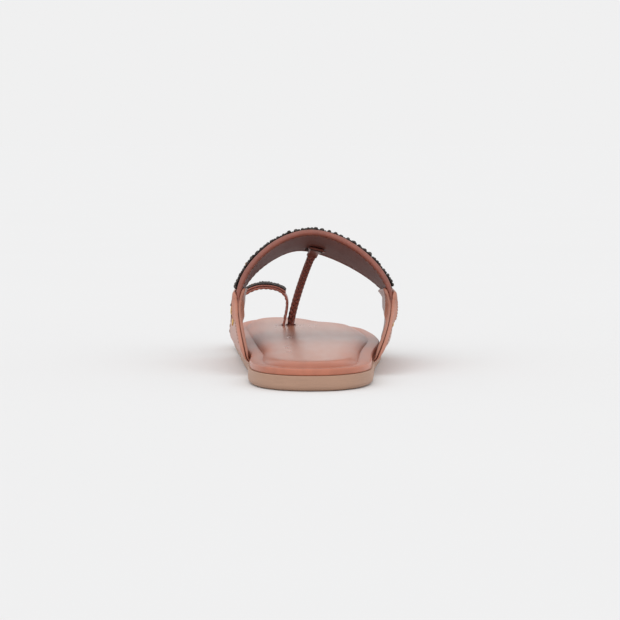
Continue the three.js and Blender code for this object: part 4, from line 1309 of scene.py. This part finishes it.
class BuildMotifs(bpy.types.Operator):
    """Rosettes of gold thread and beads on the side flaps"""

    bl_idname = "sandal.motifs"
    bl_label = "Flap rosettes"

    def execute(self, context):
        gold = thread_finish("gold_thread_finish", colours().gold, metallic=0.65, rough=0.32, twist=6500)
        petals = sizes().petals
        for side, name in SIDES.items():
            shape = Shape()
            places = []
            half_lengths = []
            tints = []
            for petal in range(petals):
                for strand in STRANDS:
                    bearing = 2 * math.pi * (petal + STRAND_SPACING * strand) / petals
                    inner = PETAL_START + 0.1 * abs(strand)
                    outer = PETAL_REACH * math.sqrt(1 - (strand / 5.6) ** 2)
                    middle = (inner + outer) / 2
                    places.append((middle * math.cos(bearing), middle * math.sin(bearing)))
                    half_lengths.append((outer - inner) / 2)
                    # The tint both raises a petal's middle strands and paints them lighter, and paints its
                    # outer strands darker: a painted highlight and painted shade across each petal.
                    tints.append(0.5 + 0.5 * math.cos(math.pi * strand / 4.5))
            places = np.array(places)
            domed = 0.28 * np.array(tints)
            spots, base = on_flap(side, places[:, 0], places[:, 1], 0.12 + domed)
            centre = on_flap(side, np.zeros(1), np.zeros(1), 0.12)[0]
            up = base[:, 2]
            away = spots - centre
            direction = unit(away - np.sum(away * up, axis=1, keepdims=True) * up)
            threads = np.stack([direction, np.cross(up, direction), up], axis=1)
            girth = np.ones(len(places))
            size = np.column_stack([half_lengths, 0.2 * girth, 0.3 * girth])
            scatter(shape, THREAD, spots, threads, size, np.array(tints))
            ring = 2 * math.pi * np.arange(10) / 10
            spots, base = on_flap(side, RING_RADIUS * np.cos(ring), RING_RADIUS * np.sin(ring), 0.55)
            scatter(shape, BEAD, spots, base, (0.46, 0.46, 0.4), 0.9)
            make_piece(name + "_rosette", shape, gold, [name + "_ear_motif"])
            heart = Shape()
            spots, base = on_flap(side, np.zeros(1), np.zeros(1), 0.6)
            scatter(heart, dot_template(16, 9), spots, base, (1.05, 1.05, 0.75), 0.2)
            make_piece(name + "_rosette_bead", heart, bead_glass(name + "_heart_glass"))
        return {"FINISHED"}


class BuildToeLoop(bpy.types.Operator):
    """Toe loop: lining, upper and beadwork"""

    bl_idname = "sandal.toe_loop"
    bl_label = "Toe loop"

    def execute(self, context):
        brown = leather("loop_leather", toned(colours().strap, 1.12), rough=0.42, pebble=1150, wear_and_sheen_tone=1.35)
        medial = lambda v: LOOP.share(MEDIAL, -FLANGE_REACH, v)
        lateral = lambda v: LOOP.share(LATERAL, -FLANGE_REACH, v)
        upper_end = lambda v: LOOP_UPPER_END + 0 * v
        bead_start = lambda v: LOOP.share(MEDIAL, 15, v)
        bead_end = lambda v: LOOP_UPPER_END - 0.02 + 0 * v

        lining = Shape()
        low = lambda arc, v: -GAP / 2 - skive(LOOP_LINING_THICKNESS, arc)
        faces = [low, lambda arc, v: -GAP / 2 + 0 * arc]
        panel(lining, LOOP, [medial, lateral], faces, 0, 0.5, 0.8, wave=0.05, seed=51)
        make_piece("toe_loop_inner_leather", lining, brown, ["toe_loop_lining"])

        upper = Shape()
        high = lambda arc, v: GAP / 2 + skive(LOOP_UPPER_THICKNESS, arc)
        faces = [lambda arc, v: GAP / 2 + 0 * arc, high]
        panel(upper, LOOP, [medial, upper_end], faces, 0, 0.4, 0.8, wave=0.04, seed=53)
        make_piece("toe_loop_outer_leather", upper, brown, ["toe_loop_upper"])

        width = LOOP_BEAD_SHARE * millimetres(sizes().bead_width)
        cloth = Shape()
        panel(cloth, LOOP, [bead_start, bead_end], flat_faces(1.04, 1.15), 0.7, 0.05, 1.0)
        ground = bead_cloth("loop_bead_cloth", (0.035, 0.022, 0.02))
        make_piece("toe_loop_bead_cloth", cloth, ground)
        beads = Shape()
        pitch = LOOP_BEAD_SHARE * millimetres(sizes().bead_pitch)
        spots = bead_rows(LOOP, [bead_start, bead_end], 0.5, width, pitch, 57)
        sew_beads(beads, LOOP, spots, width, 1.05, 59)
        glass = bead_glass("loop_bead_glass")
        make_piece("toe_loop_beads", beads, glass, ["toe_loop_beadwork"])

        thread = thread_finish("loop_thread", colours().thread)
        seam = Shape()
        for v in 0.13, 0.87:
            s = np.linspace(float(LOOP.share(MEDIAL, 5, v)), float(LOOP.share(LATERAL, 7, v)), 400)
            line, ups = arch_line(LOOP, s, v + 0 * s, -GAP / 2 - LOOP_LINING_THICKNESS - 0.03, outward=-1)
            stitch(seam, line, ups, *LOOP_STITCH, seed=61)
        make_piece("toe_loop_stitches", seam, thread)
        return {"FINISHED"}


class BuildThong(bpy.types.Operator):
    """Braided thong, with the leaf that it is sewn on by and its root"""

    bl_idname = "sandal.thong"
    bl_label = "Braided thong"

    def execute(self, context):
        # This leather paints the laces' edge mark much lighter: a painted highlight on the crowns of the
        # braid.
        fine = {"rough": 0.42, "pebble": 4200, "coat": 0.2, "wear_and_sheen_tone": 2.1, "smudge": 0.1, "depth": 0.00001}
        lace = leather("braid_leather", colours().braid, **fine)
        half_width = millimetres(sizes().lace_width) / 2
        half_thickness = millimetres(sizes().lace_thickness) / 2
        start = NECK_SHARE - 0.6 / THONG.length
        waves = (1 - start) * THONG.length / BRAID_PITCH
        count, columns = 240, 18
        turn = 2 * math.pi * np.arange(columns) / columns
        corner_x = np.sign(np.cos(turn)) * np.abs(np.cos(turn)) ** LACE_SQUARENESS
        corner_h = np.sign(np.sin(turn)) * np.abs(np.sin(turn)) ** LACE_SQUARENESS
        for index in range(3):
            shape = Shape()
            along = np.linspace(0, 1, count)
            phase = 2 * math.pi * (along * waves + index / 3)
            narrow = ease(along * 9)
            gathered = 1 - 0.3 * ease((along - 0.93) / 0.07)
            sway = mix(*BRAID_SWAY, narrow) * gathered * np.sin(phase)
            lift = mix(*BRAID_LIFT, narrow) * gathered * np.sin(2 * phase)
            share = mix(start, 1, along)
            middle = THONG.at(share, sway, lift)
            ahead = unit(np.gradient(middle, axis=0))
            out = read_at(share, THONG.share, THONG.through)
            flat = unit(np.cross(ahead, out))
            out = np.cross(flat, ahead)
            crown = 1 - 0.12 * corner_x**2
            x = half_width * corner_x[None, :, None] * flat[:, None]
            h = half_thickness * (corner_h * crown)[None, :, None] * out[:, None]
            points = middle[:, None] + x + h
            # Painted highlight: the crowns of the laces, where they rise outwards, are marked to be painted
            # lighter.
            crown_height = np.clip(np.abs(np.sin(2 * phase)) * 1.6 - 0.5, 0, 1)[:, None]
            wear_and_sheen = crown_height * np.abs(corner_h)[None, :] ** 2
            shape.add(points, tube_faces(count, columns), edge=wear_and_sheen)
            number = str(index + 1)
            stands_for = ["braid_strand_" + number]
            make_piece("braid_lace_" + number, shape, lace, stands_for, crease=60)

        leaf = Shape()
        rows, columns = 90, 25
        along = np.linspace(0, 1, rows)[:, None]
        across = np.sin(np.linspace(-math.pi / 2, math.pi / 2, columns))[None]
        surface_share = LEAF_LENGTH / (LEAF_LENGTH + NECK_LENGTH)
        on_strap = along / surface_share
        rounding = np.sqrt(np.clip(0.02 + 5.5 * on_strap, 0, 1))
        half = mix(LEAF_WIDTH, 6.0, ease(on_strap)) / 2 * rounding
        x = half * across
        edge_round = np.sqrt(np.clip(1 - np.abs(across) ** 6, 0, 1))
        thick = LEAF_THICKNESS / 2 * edge_round * np.clip(12 * along, 0, 1) ** 0.5
        neck = np.clip((along - surface_share) / (1 - surface_share), 0, 1)
        for way in (1, -1):
            h = way * thick + 0 * x
            on = leaf_point(x, LEAF_END_V - (1 - on_strap) * LEAF_LENGTH / STRAP.width + 0 * x, h)
            off = THONG.at(neck * NECK_SHARE + 0 * x, x, h)
            points = np.where((along > surface_share)[..., None], off, on)
            leaf.add(points, [grid_faces(rows, columns)], edge=np.abs(across) ** 8 + 0 * x)
        make_piece("thong_leaf_leather", leaf, lace, ["thong_leaf"], crease=60)

        tack = Shape()
        for index, x in enumerate(np.linspace(-2.9, 2.9, 13)):
            v = LEAF_END_V - (0.78 * LEAF_LENGTH + 0.5 * (index % 2)) / STRAP.width
            under = -LEAF_THICKNESS / 2 - 0.05
            line = [leaf_point(x, v + way / STRAP.width, under) for way in (-1.0, 0.0, 1.0)]
            ups = np.repeat(-STRAP.normal([LEAF_PLACE], [v]), 3, axis=0)
            stitch(tack, np.stack(line), ups, 2.0, 2.0, 0.26, seed=index)
        turn = np.linspace(-0.86 * math.pi, -0.14 * math.pi, 120)
        x = 3.3 * np.cos(turn)
        v = LEAF_END_V - (5.5 - 7.6 * np.sin(turn)) / STRAP.width
        line = leaf_point(x, v, -LEAF_THICKNESS / 2 - 0.04 + 0 * x)
        stitch(tack, line, -STRAP.normal(LEAF_PLACE + 0 * v, v), 2.4, 1.8, 0.22, seed=71)
        knot_v = LEAF_END_V - np.array([4.2, 5.2, 5.6]) / STRAP.width
        knot = leaf_point(np.array([-4.6, -4.2, -4.9]), knot_v, 0.1)
        frames = STRAP.frames(np.full(3, LEAF_PLACE), np.full(3, 0.8))
        scatter(tack, BEAD, knot, frames, (0.75, 0.6, 0.6), [0.1, 0.3, 0.2])
        thread = thread_finish("tack_thread", (0.075, 0.04, 0.034))
        make_piece("leaf_bar_tack", tack, thread, ["leaf_stitching"])

        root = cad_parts["thong_root"]
        root.data.materials.clear()
        root.data.materials.append(lace)
        return {"FINISHED"}


class BuildStage(bpy.types.Operator):
    """Pale floor, soft studio light and the camera"""

    bl_idname = "sandal.stage"
    bl_label = "Stage"

    def execute(self, context):
        f = Finish("studio_floor")
        grain = f.noise(6, 3, 0.5)
        pale = f.blend(grain, (0.826, 0.826, 0.827), (0.836, 0.836, 0.837))
        finish = f.surface(pale, 0.9, f.bump(grain, 0.00001), Specular_IOR_Level=0.0)
        mesh = bpy.data.meshes.new("floor")
        mesh.from_pydata([(-60, -60, 0), (60, -60, 0), (60, 60, 0), (-60, 60, 0)], [], [(0, 1, 2, 3)])
        mesh.materials.append(finish)
        floor = bpy.data.objects.new("floor", mesh)
        floor.location.z = -0.0002
        context.scene.collection.objects.link(floor)

        world = bpy.data.worlds.new("studio")
        world.use_nodes = True
        background = world.node_tree.nodes["Background"]
        background.inputs["Color"].default_value = (0.871, 0.871, 0.873, 1)
        background.inputs["Strength"].default_value = 1.0
        context.scene.world = world
        for name, strength, angle, turn in (
            ("key_light", 0.55, 70, (38, 0, -35)),
            ("fill_light", 0.2, 90, (50, 0, 60)),
        ):
            light = bpy.data.lights.new(name, "SUN")
            light.energy = strength
            light.angle = math.radians(angle)
            lamp = bpy.data.objects.new(name, light)
            lamp.rotation_euler = [math.radians(a) for a in turn]
            context.scene.collection.objects.link(lamp)

        camera = bpy.data.cameras.new("camera")
        camera.lens = CAMERA_LENS
        camera.sensor_width = 36
        camera.clip_end = 200
        eye = bpy.data.objects.new("camera", camera)
        eye.location = CAMERA_PLACE
        eye.rotation_euler = (math.radians(CAMERA_TILT), 0, 0)
        context.scene.collection.objects.link(eye)
        context.scene.camera = eye
        context.scene.view_settings.view_transform = "Standard"
        return {"FINISHED"}


OPERATORS = (
    BuildStage,
    BuildOutsole,
    BuildInsole,
    BuildStrap,
    BuildBeadwork,
    BuildFlaps,
    BuildMotifs,
    BuildToeLoop,
    BuildThong,
)


class SandalPanel(bpy.types.Panel):
    """The sandal's sizes, colours and pieces"""

    bl_idname = "VIEW3D_PT_sandal"
    bl_label = "Toe-loop sandal"
    bl_space_type = "VIEW_3D"
    bl_region_type = "UI"
    bl_category = "Sandal"

    def draw(self, context):
        for group in (context.scene.sandal_sizes, context.scene.sandal_colours):
            for name in group.bl_rna.properties.keys():
                if name not in ("rna_type", "name"):
                    self.layout.prop(group, name)
        for operator in OPERATORS:
            self.layout.operator(operator.bl_idname)


CLASSES = (SandalSizes, SandalColours, *OPERATORS, SandalPanel)


def register():
    for kind in CLASSES:
        bpy.utils.register_class(kind)
    bpy.types.Scene.sandal_sizes = bpy.props.PointerProperty(type=SandalSizes)
    bpy.types.Scene.sandal_colours = bpy.props.PointerProperty(type=SandalColours)


def unregister():
    del bpy.types.Scene.sandal_colours
    del bpy.types.Scene.sandal_sizes
    for kind in reversed(CLASSES):
        bpy.utils.unregister_class(kind)


def main():
    register()
    bpy.ops.sandal.stage()
    bpy.ops.sandal.outsole()
    bpy.ops.sandal.insole()
    bpy.ops.sandal.strap()
    bpy.ops.sandal.beadwork()
    bpy.ops.sandal.flaps()
    bpy.ops.sandal.motifs()
    bpy.ops.sandal.toe_loop()
    bpy.ops.sandal.thong()


if __name__ == "__main__":
    main()
